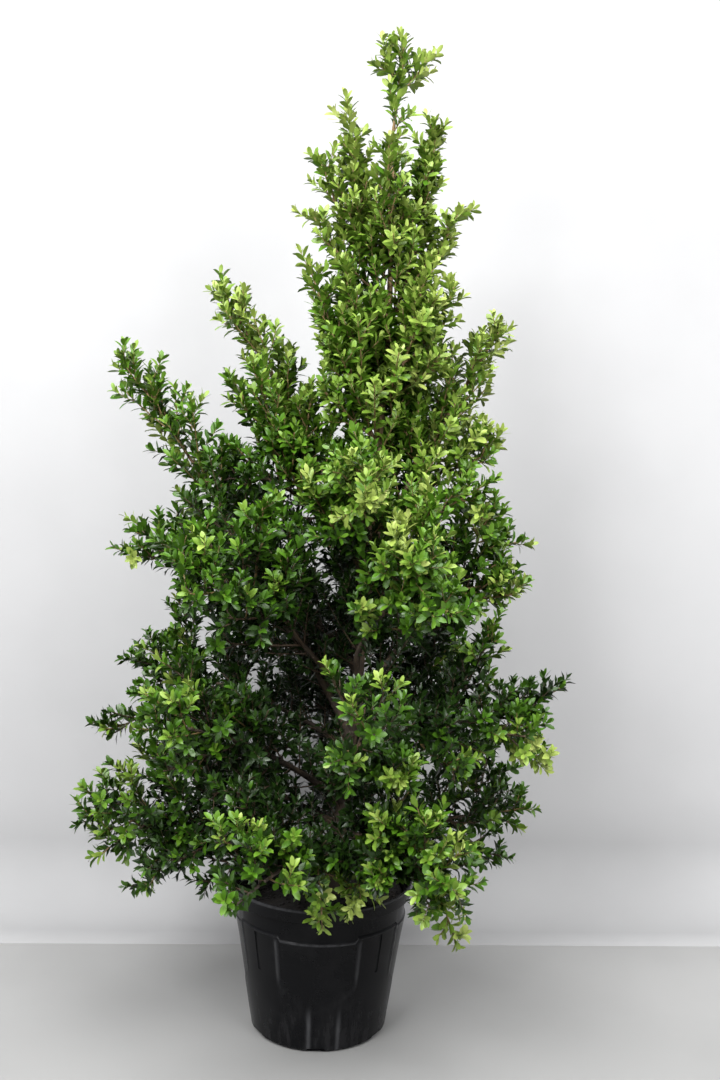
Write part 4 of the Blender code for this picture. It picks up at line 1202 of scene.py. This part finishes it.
def limb_radii(limb, s):
    """The limb's radii at shares s: the bough's taper, then the stem's, with a root collar."""
    trunk_there = trunk_radius(limb.root[2])
    if limb.stem_start == 0.0:
        first = min(TRUNK_TIP_RADIUS, STEM_ROOT_SHARE * trunk_there)
        return first + (STEM_TIP_RADIUS * STEM_TIP_SHARE - first) * s
    root = min(BOUGH_ROOT_RADIUS, ROOT_SHARE * trunk_there)
    radii = np.interp(s, (0.0, limb.stem_start, 1.0), (root, BOUGH_TIP_RADIUS, STEM_TIP_RADIUS))
    past_trunk = np.maximum(0.0, s * limb.length() - trunk_there)
    return radii * (1.0 + ROOT_SWELL * np.exp(-past_trunk / ROOT_SWELL_LENGTH))


def carried_frames(line):
    """Two directions square to a line at each of its points, carried along without twist."""
    headings = unit(np.gradient(line, axis=0))
    first = np.cross(headings[0], (0.0, 1.0, 0.0))
    if np.linalg.norm(first) < 0.1:
        first = np.cross(headings[0], (1.0, 0.0, 0.0))
    across = [unit(first)]
    for heading in headings[1:]:
        last = across[-1]
        across.append(unit(last - heading * float(last @ heading)))
    across = np.array(across)
    return across, np.cross(headings, across)


def bark_tube(name, line, radii, sides, relief, seed, flare=0.0):
    """A limb with furrows, swellings and, on the trunk, a lobed root flare."""
    along = distances(line)
    across, over = carried_frames(line)
    points = np.empty((len(line), sides, 3))
    places = np.empty((len(line), sides, 3))
    for i, (length, radius) in enumerate(zip(along, radii)):
        fading = flare * math.exp(-length / FLARE_LENGTH)
        for j in range(sides):
            turn = j * math.tau / sides
            c, s = math.cos(turn), math.sin(turn)
            fine = noise.noise(Vector((c * 2.6, s * 2.6, length * 26.0 + seed)))
            broad = noise.noise(Vector((c * 0.9, s * 0.9, length * 7.0 + seed + 40.0)))
            swell = 1.0 + relief * (1.1 * fine + 1.3 * broad)
            lobes = fading * sum(share * math.cos(count * turn + start)
                                 for count, start, share in FLARE_LOBES)
            points[i, j] = line[i] + (across[i] * c + over[i] * s) * (radius * swell + lobes)
            places[i, j] = (c * radius, s * radius, length)
    end = line[-1] + unit(line[-1] - line[-2]) * radii[-1]
    points = np.concatenate((points.reshape(-1, 3), [end]))
    places = np.concatenate((places.reshape(-1, 3), [(0.0, 0.0, along[-1])]))
    tube = mesh_piece(name, points, *tube_faces(len(line), sides))
    attribute = tube.data.attributes.new("bark_place", "FLOAT_VECTOR", "POINT")
    attribute.data.foreach_set("vector", np.ascontiguousarray(places, np.float32).ravel())
    return tube


def make_trunk(settings):
    """The trunk, whole from just under the soil's surface to its tip."""
    height = TRUNK_TOP_Z - TRUNK_BASE_Z + TRUNK_SUNK
    heights = TRUNK_BASE_Z - TRUNK_SUNK + height * np.linspace(0.0, 1.0, TRUNK_RINGS) ** 1.12
    line = np.array([trunk_point(max(z, TRUNK_BASE_Z)) * (1, 1, 0) + UP * z for z in heights])
    radii = np.array([trunk_radius(z) for z in heights])
    return bark_tube("bark_trunk", line, radii, TRUNK_SIDES, settings.relief, 1.0, FLARE_RADIUS)


def make_limb(limb, index, settings):
    """One limb's bark from the trunk to the stem's tip."""
    count = max(FEWEST_RINGS, round(limb.length() / LIMB_STEP))
    radii = limb_radii(limb, np.linspace(0.0, 1.0, count))
    sides = BOUGH_SIDES if limb.stem_start > 0.0 else STEM_SIDES
    return bark_tube("bark_" + limb.name, limb.stem(0.0, count), radii, sides, settings.relief,
                     5.0 + 3.1 * index)


class HOLLY_OT_trunk(Operator):
    """Build the trunk's bark"""

    bl_idname = "potted_holly.trunk"
    bl_label = "Trunk"

    def execute(self, context):
        settings = context.scene.holly_bark
        finish_piece(make_trunk(settings), ["trunk"], [bark_finish(settings)])
        return {"FINISHED"}


class HOLLY_OT_limbs(Operator):
    """Build the bark of every bough and of the stem that carries it on through its mass"""

    bl_idname = "potted_holly.limbs"
    bl_label = "Boughs and stems"

    def execute(self, context):
        settings = context.scene.holly_bark
        bark = bpy.data.materials["holly_bark"]
        for index, limb in enumerate(plan_limbs()):
            nodes = ["foliage_" + limb.name]
            if limb.stem_start > 0.0:
                nodes.append("bough_" + limb.name)
            finish_piece(make_limb(limb, index, settings), nodes, [bark])
        return {"FINISHED"}


# Twigs and leaves

class Shoot(NamedTuple):
    """A branch, twig or spur: points along it, its root's radius, how its leaves are dealt."""

    points: np.ndarray
    radius: float
    bare: float             # share of its length without leaves
    tone: float             # leaf tone at its root
    order: int              # 0 a stem's own end, 1 a side branch, 2 a twig, 3 a spur


def plume(t):
    """A mass's outline: the reach of a side twig at share t along the stem."""
    return (1.0 - t) ** 0.55 * (0.75 + 0.9 * t)


def around(axis, turn):
    """A direction square to the axis, turned about it from a level one."""
    side = level_side(axis)
    return side * math.cos(turn) + np.cross(side, axis) * math.sin(turn)


def in_pot(points):
    """Whether any of the points is in the pot or too near its rim."""
    out = np.hypot(points[:, 0], points[:, 1])
    near = (out < RIM_RADIUS + POT_CLEARANCE) & (points[:, 2] < POT_HEIGHT + POT_CLEARANCE)
    return bool(near.any())


def in_opening(points):
    """Whether a shoot would end where the crown stands open."""
    return any((((points[-1] - middle) / size) ** 2).sum() < 1.0 for middle, size in OPENINGS)


def in_pot_or_opening(points):
    """What bars the twigs of a named shoot."""
    return in_pot(points) or in_opening(points)


def kept_clear(points):
    """What bars all others: they may not hang close over the pot's rim either."""
    x, y, z = points.T
    out = np.hypot(x, y)
    open_side = (x > RIM_OPEN_LEFT + RIM_OPEN_LEFT_RUN * y) & (x < RIM_OPEN_RIGHT) & (y < 0.0)
    open_side &= (out < RIM_OPEN_RADIUS) | (y < RIM_OPEN_FRONT)
    low = z < RIM_CLEAR_HEIGHT + RIM_OPEN_SLOPE * (out - RIM_RADIUS)
    over_rim = (out < RIM_CLEAR_RADIUS) & (z < RIM_CLEAR_HEIGHT)
    return bool((open_side & low | over_rim).any()) or in_opening(points)


def crown_depth(place):
    """How far out in the crown a place is: 0 on its middle line, about 1 at its outline."""
    heights, middles, radii = np.array(CROWN).T
    middle = np.interp(place[2], heights, middles)
    return math.hypot(place[0] - middle, place[1]) / np.interp(place[2], heights, radii)


def spray_tone(tip, rng):
    """Leaf tone of a spray by where its tip is: painted shade deeper inside and low down, painted
    light further out and up, and new growth lighter.
    """
    depth = crown_depth(tip)
    # Painted shade inside the crown, and painted light high up that is less off to the sides.
    middle, free, loss = TONE_SIDE
    aside = max(0.0, abs(tip[0] - middle) - free)
    high = smooth_step(tip[2] - loss * aside, *TONE_HEIGHTS)
    outward = (TONE_OUTWARD - TONE_OUTWARD_LOST * high) * smooth_step(depth, *TONE_DEPTHS)
    tone = TONE_DEEPEST + outward + TONE_UPWARD * high
    closeness, contrast = TONE_CLOUDS
    tone += contrast * noise.noise(Vector(tip) * closeness)
    tone += rng.uniform(-0.7, 0.7)
    growth = 0.0
    for x, y, z, radius, strength in NEW_GROWTH:
        away = math.dist(tip, (x, y, z)) / radius
        growth = max(growth, strength * (1.0 - smooth_step(away, 0.35, 1.1)))
    if rng.random() < NEW_SPRAYS[0] + NEW_SPRAYS[1] * growth and depth > 0.55:
        tone += rng.uniform(*NEW_TONES)
    return tone


def curved(root, heading, length, stations, rng):
    """A twig's line: out along its heading, curving upward, with a slight wander."""
    u = np.linspace(0.0, 1.0, stations)[:, None]
    side = np.cross(heading, UP)
    wander = rng.uniform(-TWIG_WANDER, TWIG_WANDER) * length
    lift = TWIG_LIFT * rng.uniform(*TWIG_LIFT_RANGE) * length
    return root + heading * (length * u) + UP * (lift * u * u) + side * (wander * np.sin(4.4 * u))


def on_line(line, share):
    """The place and heading at a share of the way along a line of points."""
    shares = np.linspace(0.0, 1.0, len(line))
    ahead = read_off(min(1.0, share + 0.04), shares, line)
    behind = read_off(max(0.0, share - 0.04), shares, line)
    return read_off(share, shares, line), unit(ahead - behind)


def side_shoots(line, spacing, span, leans, rise, rng):
    """Where side shoots leave a line, in a spiral: share, place and heading of each."""
    count = max(1, round(line_length(line) * (span[1] - span[0]) / spacing))
    first_turn = rng.uniform(0.0, math.tau)
    for i in range(count):
        t = span[0] + (span[1] - span[0]) * (i + 0.5) / count
        place, axis = on_line(line, t)
        lean = leans[0] + (leans[1] - leans[0]) * t + rng.uniform(-TWIG_LEAN_SPREAD,
                                                                  TWIG_LEAN_SPREAD)
        outward = around(axis, first_turn + i * GOLDEN_ANGLE)
        heading = unit(axis * math.cos(lean) + outward * math.sin(lean) + UP * rise)
        yield t, place, heading


def branches_of(limb, rng):
    """Side branches of a stem, over and under it in turn, that fill the crown between stems."""
    stem = limb.stem(limb.stem_start, STEM_STATIONS)
    leans = BRANCH_LEANS if limb.stem_start > 0.0 else STEEP_LEANS
    count = round(BRANCHES_PER_METRE * line_length(stem))
    for i in range(count):
        t = BRANCH_SPAN[0] + (BRANCH_SPAN[1] - BRANCH_SPAN[0]) * (i + 0.5) / count
        place, axis = on_line(stem, t)
        turn = (1.0 if i % 2 else -1.0) * math.radians(rng.uniform(*BRANCH_TURNS))
        lean = math.radians(rng.uniform(*leans))
        heading = unit(axis * math.cos(lean) + around(axis, turn) * math.sin(lean)
                       + UP * BRANCH_RISE)
        length = BRANCH_LENGTH * limb.spread * (1.0 - BRANCH_SHORTER * t)
        length *= rng.uniform(*BRANCH_RANGE)
        line = curved(place, heading, length, BRANCH_STATIONS, rng)
        if not kept_clear(line):
            yield Shoot(line, BRANCH_RADIUS, BRANCH_BARE, spray_tone(line[-1], rng), 1)


def twigs_of(line, spread, habit, settings, rng, barred=kept_clear):
    """Twigs along a stem or branch, each with its spurs, where nothing bars them."""
    leans = tuple(math.radians(lean) for lean in habit.leans)
    for t, place, heading in side_shoots(line, settings.twig_spacing * habit.spacing, TWIG_SPAN,
                                         leans, TWIG_RISE, rng):
        length = spread * plume(t) * rng.uniform(*habit.lengths)
        length = min(length, habit.room * (1.0 - t) * line_length(line) + TWIG_SHORTEST)
        points = curved(place, heading, length, TWIG_STATIONS, rng)
        if barred(points):
            continue
        yield Shoot(points, TWIG_RADIUS, habit.bare, spray_tone(points[-1], rng), 2)
        for u, root, way in side_shoots(points, settings.spur_spacing * habit.spur_spacing,
                                        SPUR_SPAN, SPUR_LEAN, SPUR_RISE, rng):
            reach = SPUR_SHORTEST * rng.uniform(0.8, 1.3)
            reach += SPUR_LENGTH * rng.uniform(0.6, 1.1) * (1.0 - u) * length
            spur = curved(root, way, reach, SPUR_STATIONS, rng)
            if not barred(spur):
                yield Shoot(spur, SPUR_RADIUS, SPUR_BARE, spray_tone(spur[-1], rng), 3)


def clear_shoots_of(limb, settings, rng):
    """The limb's shoots that stand clear of its mass, with their twigs and spurs."""
    u = np.linspace(0.0, 1.0, BRANCH_STATIONS)[:, None]
    for share, x, y, z, spread, sag, added in CLEAR_SHOOTS.get(limb.name, ()):
        root = limb.points(share)[0]
        tip = np.array((x, y, z))
        tip -= unit(tip - root) * LEAF_ALLOWANCE
        line = root + (tip - root) * u - UP * (sag * 4.0 * u * (1.0 - u))
        yield Shoot(line, CLEAR_RADIUS, CLEAR_BARE, spray_tone(tip, rng) + added, 1)
        for shoot in twigs_of(line, spread, UPRIGHT, settings, rng, in_pot_or_opening):
            yield shoot._replace(tone=shoot.tone + added)


def inner_shoots(line, first_share, rng, window=(0.0, 0.0)):
    """Small leafy shoots round the trunk and bare boughs, but for the front of a window."""
    for _, place, heading in side_shoots(line, INNER_SPACING, (first_share, 1.0), INNER_LEAN,
                                         INNER_RISE, rng):
        if window[0] < place[2] < window[1] and heading[1] < WINDOW_FRONT:
            continue
        reach = rng.uniform(*INNER_LENGTHS) * (1.0 + INNER_BACK_REACH * max(0.0, heading[1]))
        points = curved(place, heading, reach, TWIG_STATIONS, rng)
        if not in_pot(points):
            yield Shoot(points, INNER_RADIUS, INNER_BARE, spray_tone(points[-1], rng), 2)


def shoots_of(limb, settings):
    """Every shoot of one mass: its stem's own end, its branches, their twigs and spurs."""
    rng = random.Random(f"{settings.seed} {limb.name}")
    end = limb.stem(STEM_END, 6)
    shoots = [Shoot(end, 0.0, 0.0, spray_tone(end[-1], rng) + 1.0, 0)]
    stem = limb.stem(limb.stem_start, STEM_STATIONS)
    branched = limb.spread > BRANCHED_SPREAD
    habit = BUSHY if branched and limb.stem_start > 0.0 else UPRIGHT
    if limb.name == "leader":
        habit = SLENDER
    shoots.extend(twigs_of(stem, limb.spread, habit, settings, rng))
    for branch in branches_of(limb, rng) if branched else ():
        shoots.append(branch)
        spread = BRANCH_SPREAD * limb.spread
        shoots.extend(twigs_of(branch.points, spread, habit, settings, rng))
    if limb.stem_start > 0.0:
        bough = limb.points(np.linspace(0.0, limb.stem_start, 12))
        shoots.extend(inner_shoots(bough, INNER_START, rng))
    shoots.extend(clear_shoots_of(limb, settings, rng))
    return shoots


def trunk_shoots(settings):
    """The small shoots that grow straight on the trunk."""
    rng = random.Random(f"{settings.seed} trunk")
    line = np.array([trunk_point(z) for z in np.linspace(INNER_FOOT, INNER_TOP, 40)])
    return list(inner_shoots(line, 0.0, rng, TRUNK_WINDOW))


def joined_piece(name, kinds):
    """A piece of repeated shapes. Each kind has their corners, faces, face sizes and tones."""
    corners, loops, sizes, tones = [], [], [], []
    offset = 0
    for blocks, face_corners, face_sizes, steps in kinds:
        count, each = blocks.shape[:2]
        starts = offset + np.arange(count)[:, None] * each
        corners.append(blocks.reshape(-1, 3))
        loops.append((starts + face_corners).ravel())
        sizes.append(np.tile(face_sizes, count))
        tones.append(np.repeat(steps, len(face_sizes)))
        offset += count * each
    return mesh_piece(name, *map(np.concatenate, (corners, loops, sizes, tones)))


def twig_corners(shoots, sides):
    """The corners of tapering tubes round shoots of one order, each closed by a point."""
    lines = np.array([shoot.points for shoot in shoots])
    count, stations = lines.shape[:2]
    radii = np.array([shoot.radius for shoot in shoots])[:, None]
    radii = radii * np.linspace(1.0, TWIG_TAPER, stations)
    headings = unit(np.gradient(lines, axis=1))
    across = unit(np.cross(headings[:, :1], (0.13, 0.31, 0.94)))
    across = unit(across - headings * (across * headings).sum(2, keepdims=True))
    over = np.cross(headings, across)
    turns = np.arange(sides)[:, None] * math.tau / sides
    rings = across[:, :, None] * np.cos(turns) + over[:, :, None] * np.sin(turns)
    points = lines[:, :, None] + rings * radii[:, :, None, None]
    ends = lines[:, -1] + headings[:, -1] * TWIG_POINT
    return np.concatenate((points.reshape(count, -1, 3), ends[:, None]), 1)


def make_twigs(name, shoots):
    """All twigs and spurs of one mass as one piece."""
    kinds = []
    for order, sides in TWIG_SIDES:
        chosen = [shoot for shoot in shoots if shoot.order == order]
        if chosen:
            faces = tube_faces(len(chosen[0].points), sides)
            # Twigs take their colour from their leaves' tone, painted shade and light included.
            twig_colour_step = np.searchsorted(TWIG_TONE_STEPS, [shoot.tone for shoot in chosen], side="right")
            kinds.append((twig_corners(chosen, sides), *faces, twig_colour_step))
    return joined_piece("twigs_" + name, kinds)


def leaves_on(shoot, spacing, rng):
    """Leaves in a spiral along a shoot, closer and more upright towards its tip: a row for each."""
    along = distances(shoot.points)
    length = along[-1]
    leafy = length * (1.0 - shoot.bare)
    count = max(FEWEST_LEAVES, int(leafy / spacing) + 3)
    share = (np.arange(count) + 0.5) / count
    out = length - leafy * (1.0 - share) ** LEAF_CROWDING
    places = read_off(out, along, shoot.points)
    axes = unit(read_off(out, along, unit(np.gradient(shoot.points, axis=0))))
    turns = rng.uniform(0.0, math.tau) + np.arange(count) * GOLDEN_ANGLE
    near_tip = np.clip(1.0 - (length - out) / LEAF_TIP, 0.0, 1.0)
    leans = LEAF_LEAN[0] + (LEAF_LEAN[1] - LEAF_LEAN[0]) * near_tip ** LEAF_LEAN_POWER
    leans += rng.normal(0.0, 0.13, count)
    sizes = rng.uniform(*LEAF_SIZES, count) * (1.0 - LEAF_TIP_SMALLER * near_tip ** 2)
    tones = shoot.tone - 0.9 + 1.5 * share + 0.7 * near_tip + rng.normal(0.0, 0.45, count)
    rolls = rng.normal(0.0, 0.28, count)
    cups = rng.uniform(*LEAF_CUPS, count)
    tones = np.clip(np.rint(tones), 0, TONES - 1)
    return np.column_stack((places, axes, turns, leans, sizes, tones, rolls, cups))


def leaf_corners(rows, shape, settings):
    """The corners of the rows' leaves in one shape and each leaf's tone, but for any in the pot."""
    places, axes = rows[:, 0:3], rows[:, 3:6]
    turns, leans, sizes, tones, rolls, cups = rows[:, 6:, None].transpose(1, 0, 2)
    side = unit(np.cross(axes, UP) + (1e-6, 0.0, 0.0))
    lift = np.cross(side, axes)
    outward = side * np.cos(turns) + lift * np.sin(turns)
    heading = unit(axes * np.cos(leans) + outward * np.sin(leans) + UP * LEAF_RISE)
    face = axes - heading * (axes * heading).sum(1, keepdims=True) + UP * LEAF_FACE_UP
    across = unit(np.cross(face, heading))
    normal = np.cross(heading, across)
    across, normal = (across * np.cos(rolls) + normal * np.sin(rolls),
                      normal * np.cos(rolls) - across * np.sin(rolls))
    length = settings.leaf_length
    points = (places[:, None]
              + heading[:, None] * shape[:, 0:1] * length * sizes[:, None]
              + across[:, None] * shape[:, 1:2] * 0.5 * settings.leaf_width * sizes[:, None]
              + normal[:, None] * shape[:, 2:3] * length * sizes[:, None] * cups[:, None])
    in_rim = np.hypot(points[:, :, 0], points[:, :, 1]) < RIM_RADIUS + 0.002
    clear = ~(in_rim & (points[:, :, 2] < POT_HEIGHT + 0.002)).any(1)
    return points[clear], tones[clear, 0].astype(int)


def make_leaves(name, shoots, settings):
    """All leaves of one mass as one piece."""
    rng = np.random.default_rng([settings.seed, *name.encode()])
    rows = np.concatenate([leaves_on(shoot, settings.leaf_spacing, rng) for shoot in shoots])
    inner = rows[:, 9] < INNER_TONES
    kinds = []
    for chosen, shape, faces in ((~inner, LEAF_POINTS, LEAF_FACES),
                                 (inner, INNER_LEAF_POINTS, INNER_LEAF_FACES)):
        corners, tones = leaf_corners(rows[chosen], shape, settings)
        kinds.append((corners, np.concatenate(faces), [len(face) for face in faces], tones))
    return joined_piece("leaves_" + name, kinds)


class HOLLY_OT_foliage(Operator):
    """Grow twigs and leaves on every limb"""

    bl_idname = "potted_holly.foliage"
    bl_label = "Twigs and leaves"

    def execute(self, context):
        settings = context.scene.holly_foliage
        greens = leaf_finishes(settings)
        browns = twig_finishes()
        grown = [("trunk", "trunk", trunk_shoots(settings))]
        grown += [(limb.name, "foliage_" + limb.name, shoots_of(limb, settings))
                  for limb in plan_limbs()]
        for name, node, shoots in grown:
            finish_piece(make_twigs(name, shoots), [node], browns)
            finish_piece(make_leaves(name, shoots, settings), [node], greens)
        return {"FINISHED"}


# Stage

def area_light(name, place, aim, size, power):
    """A soft light of some width and height that looks at a point."""
    select_none()
    bpy.ops.object.light_add(type="AREA", location=place)
    light = bpy.context.object
    light.name = name
    light.data.shape = "RECTANGLE"
    light.data.size, light.data.size_y = size
    light.data.energy = power
    light.rotation_euler = (Vector(aim) - Vector(place)).to_track_quat("-Z", "Y").to_euler()


def swept_sheet(name, profile, finish):
    """A sheet of the stage swept sideways along a profile of (y, z) points."""
    c, w = math.cos(STAGE_TURN), math.sin(STAGE_TURN)
    points = [(side * STAGE_WIDTH * c - y * w, side * STAGE_WIDTH * w + y * c, z)
              for y, z in profile for side in (-1.0, 1.0)]
    loops = [2 * i + k for i in range(len(profile) - 1) for k in (0, 1, 3, 2)]
    sheet = mesh_piece(name, np.array(points), loops, [4] * (len(profile) - 1))
    sheet.data.materials.append(finish)
    return sheet


def lay_sheets(settings):
    """The floor, and behind the seam a backdrop that rises from it in a cove."""
    width, depth = SEAM_GROOVE
    floor = swept_sheet(
        "floor", [(STAGE_FRONT, 0.0), (STAGE_SEAM - width, 0.0), (STAGE_SEAM, -depth)],
        stage_finish("floor_paint", settings.floor, 0.55, FLOOR_PAINTED_SHADE))
    start = WALL_DISTANCE - COVE_RADIUS
    turns = [0.5 * math.pi * i / COVE_STEPS for i in range(1, COVE_STEPS + 1)]
    backdrop = swept_sheet(
        "backdrop", [(STAGE_SEAM, -depth), (STAGE_SEAM + width, 0.0), (start, 0.0)]
        + [(start + COVE_RADIUS * math.sin(turn), COVE_RADIUS - COVE_RADIUS * math.cos(turn))
           for turn in turns] + [(WALL_DISTANCE, WALL_TOP)],
        stage_finish("backdrop_paint", settings.wall, 0.8, WALL_PAINTED_SHADE))


def set_lights(settings):
    """Large soft lights in front and overhead, two narrow ones by the pot, and a pale surround."""
    area_light("key", (-1.6, -2.6, 3.4), LIGHT_AIM, (1.6, 1.6), settings.key_light)
    area_light("fill", (1.9, -2.4, 3.0), LIGHT_AIM, (1.6, 1.6), settings.fill_light)
    area_light("overhead", (0.1, -1.1, 3.9), LIGHT_AIM, (2.4, 2.0), settings.top_light)
    area_light("strip_left", (-1.5, -1.9, 1.0), STRIP_AIM, (0.14, 1.5), settings.strip_lights)
    area_light("strip_right", (1.3, -2.2, 1.0), STRIP_AIM, (0.14, 1.5), settings.strip_lights)
    world = bpy.data.worlds.new("soft_surround")
    world.use_nodes = True
    sky = world.node_tree.nodes["Background"]
    sky.inputs["Color"].default_value = (1.0, 1.0, 1.0, 1.0)
    sky.inputs["Strength"].default_value = settings.surround
    bpy.context.scene.world = world


def set_camera(settings):
    """The camera, in front of the plant at its middle height, looking a little down."""
    select_none()
    bpy.ops.object.camera_add(
        location=(settings.camera_side, -settings.camera_distance, settings.camera_height))
    camera = bpy.context.object
    camera.rotation_mode = "QUATERNION"
    tilt = Quaternion((1.0, 0.0, 0.0), 0.5 * math.pi - settings.camera_pitch)
    camera.rotation_quaternion = tilt @ Quaternion((0.0, 0.0, 1.0), settings.camera_roll)
    camera.data.lens = settings.lens
    camera.data.sensor_fit = "VERTICAL"
    camera.data.sensor_width = 36.0
    camera.data.sensor_height = 36.0
    bpy.context.scene.camera = camera


class HOLLY_OT_stage(Operator):
    """Set up the floor, the backdrop, the lights and the camera"""

    bl_idname = "potted_holly.stage"
    bl_label = "Stage"

    def execute(self, context):
        settings = context.scene.holly_stage
        lay_sheets(settings)
        set_lights(settings)
        set_camera(settings)
        context.scene.view_settings.view_transform = "Standard"
        return {"FINISHED"}


# Panel and registration

OPERATORS = (HOLLY_OT_pot, HOLLY_OT_soil, HOLLY_OT_trunk, HOLLY_OT_limbs, HOLLY_OT_foliage,
             HOLLY_OT_stage)
SETTINGS = {
    "holly_pot": PotSettings,
    "holly_soil": SoilSettings,
    "holly_bark": BarkSettings,
    "holly_foliage": FoliageSettings,
    "holly_stage": StageSettings,
}


class HOLLY_PT_panel(Panel):
    """Lists the holly's pieces and settings"""

    bl_idname = "HOLLY_PT_panel"
    bl_label = "Potted Holly"
    bl_space_type = "VIEW_3D"
    bl_region_type = "UI"
    bl_category = "Holly"

    def draw(self, context):
        for operator in OPERATORS:
            self.layout.operator(operator.bl_idname)
        for name in SETTINGS:
            group = getattr(context.scene, name)
            box = self.layout.box()
            for key in group.__annotations__:
                box.prop(group, key)


def register():
    """Register the settings, the operators and the panel."""
    for name, group in SETTINGS.items():
        bpy.utils.register_class(group)
        setattr(bpy.types.Scene, name, PointerProperty(type=group))
    for operator in OPERATORS:
        bpy.utils.register_class(operator)
    bpy.utils.register_class(HOLLY_PT_panel)


def unregister():
    """Undo register."""
    bpy.utils.unregister_class(HOLLY_PT_panel)
    for operator in reversed(OPERATORS):
        bpy.utils.unregister_class(operator)
    for name, group in SETTINGS.items():
        delattr(bpy.types.Scene, name)
        bpy.utils.unregister_class(group)


def main():
    """Build the plant and the stage."""
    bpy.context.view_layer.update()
    register()
    bpy.ops.potted_holly.pot()
    bpy.ops.potted_holly.soil()
    bpy.ops.potted_holly.trunk()
    bpy.ops.potted_holly.limbs()
    bpy.ops.potted_holly.foliage()
    bpy.ops.potted_holly.stage()


if __name__ == "__main__":
    main()
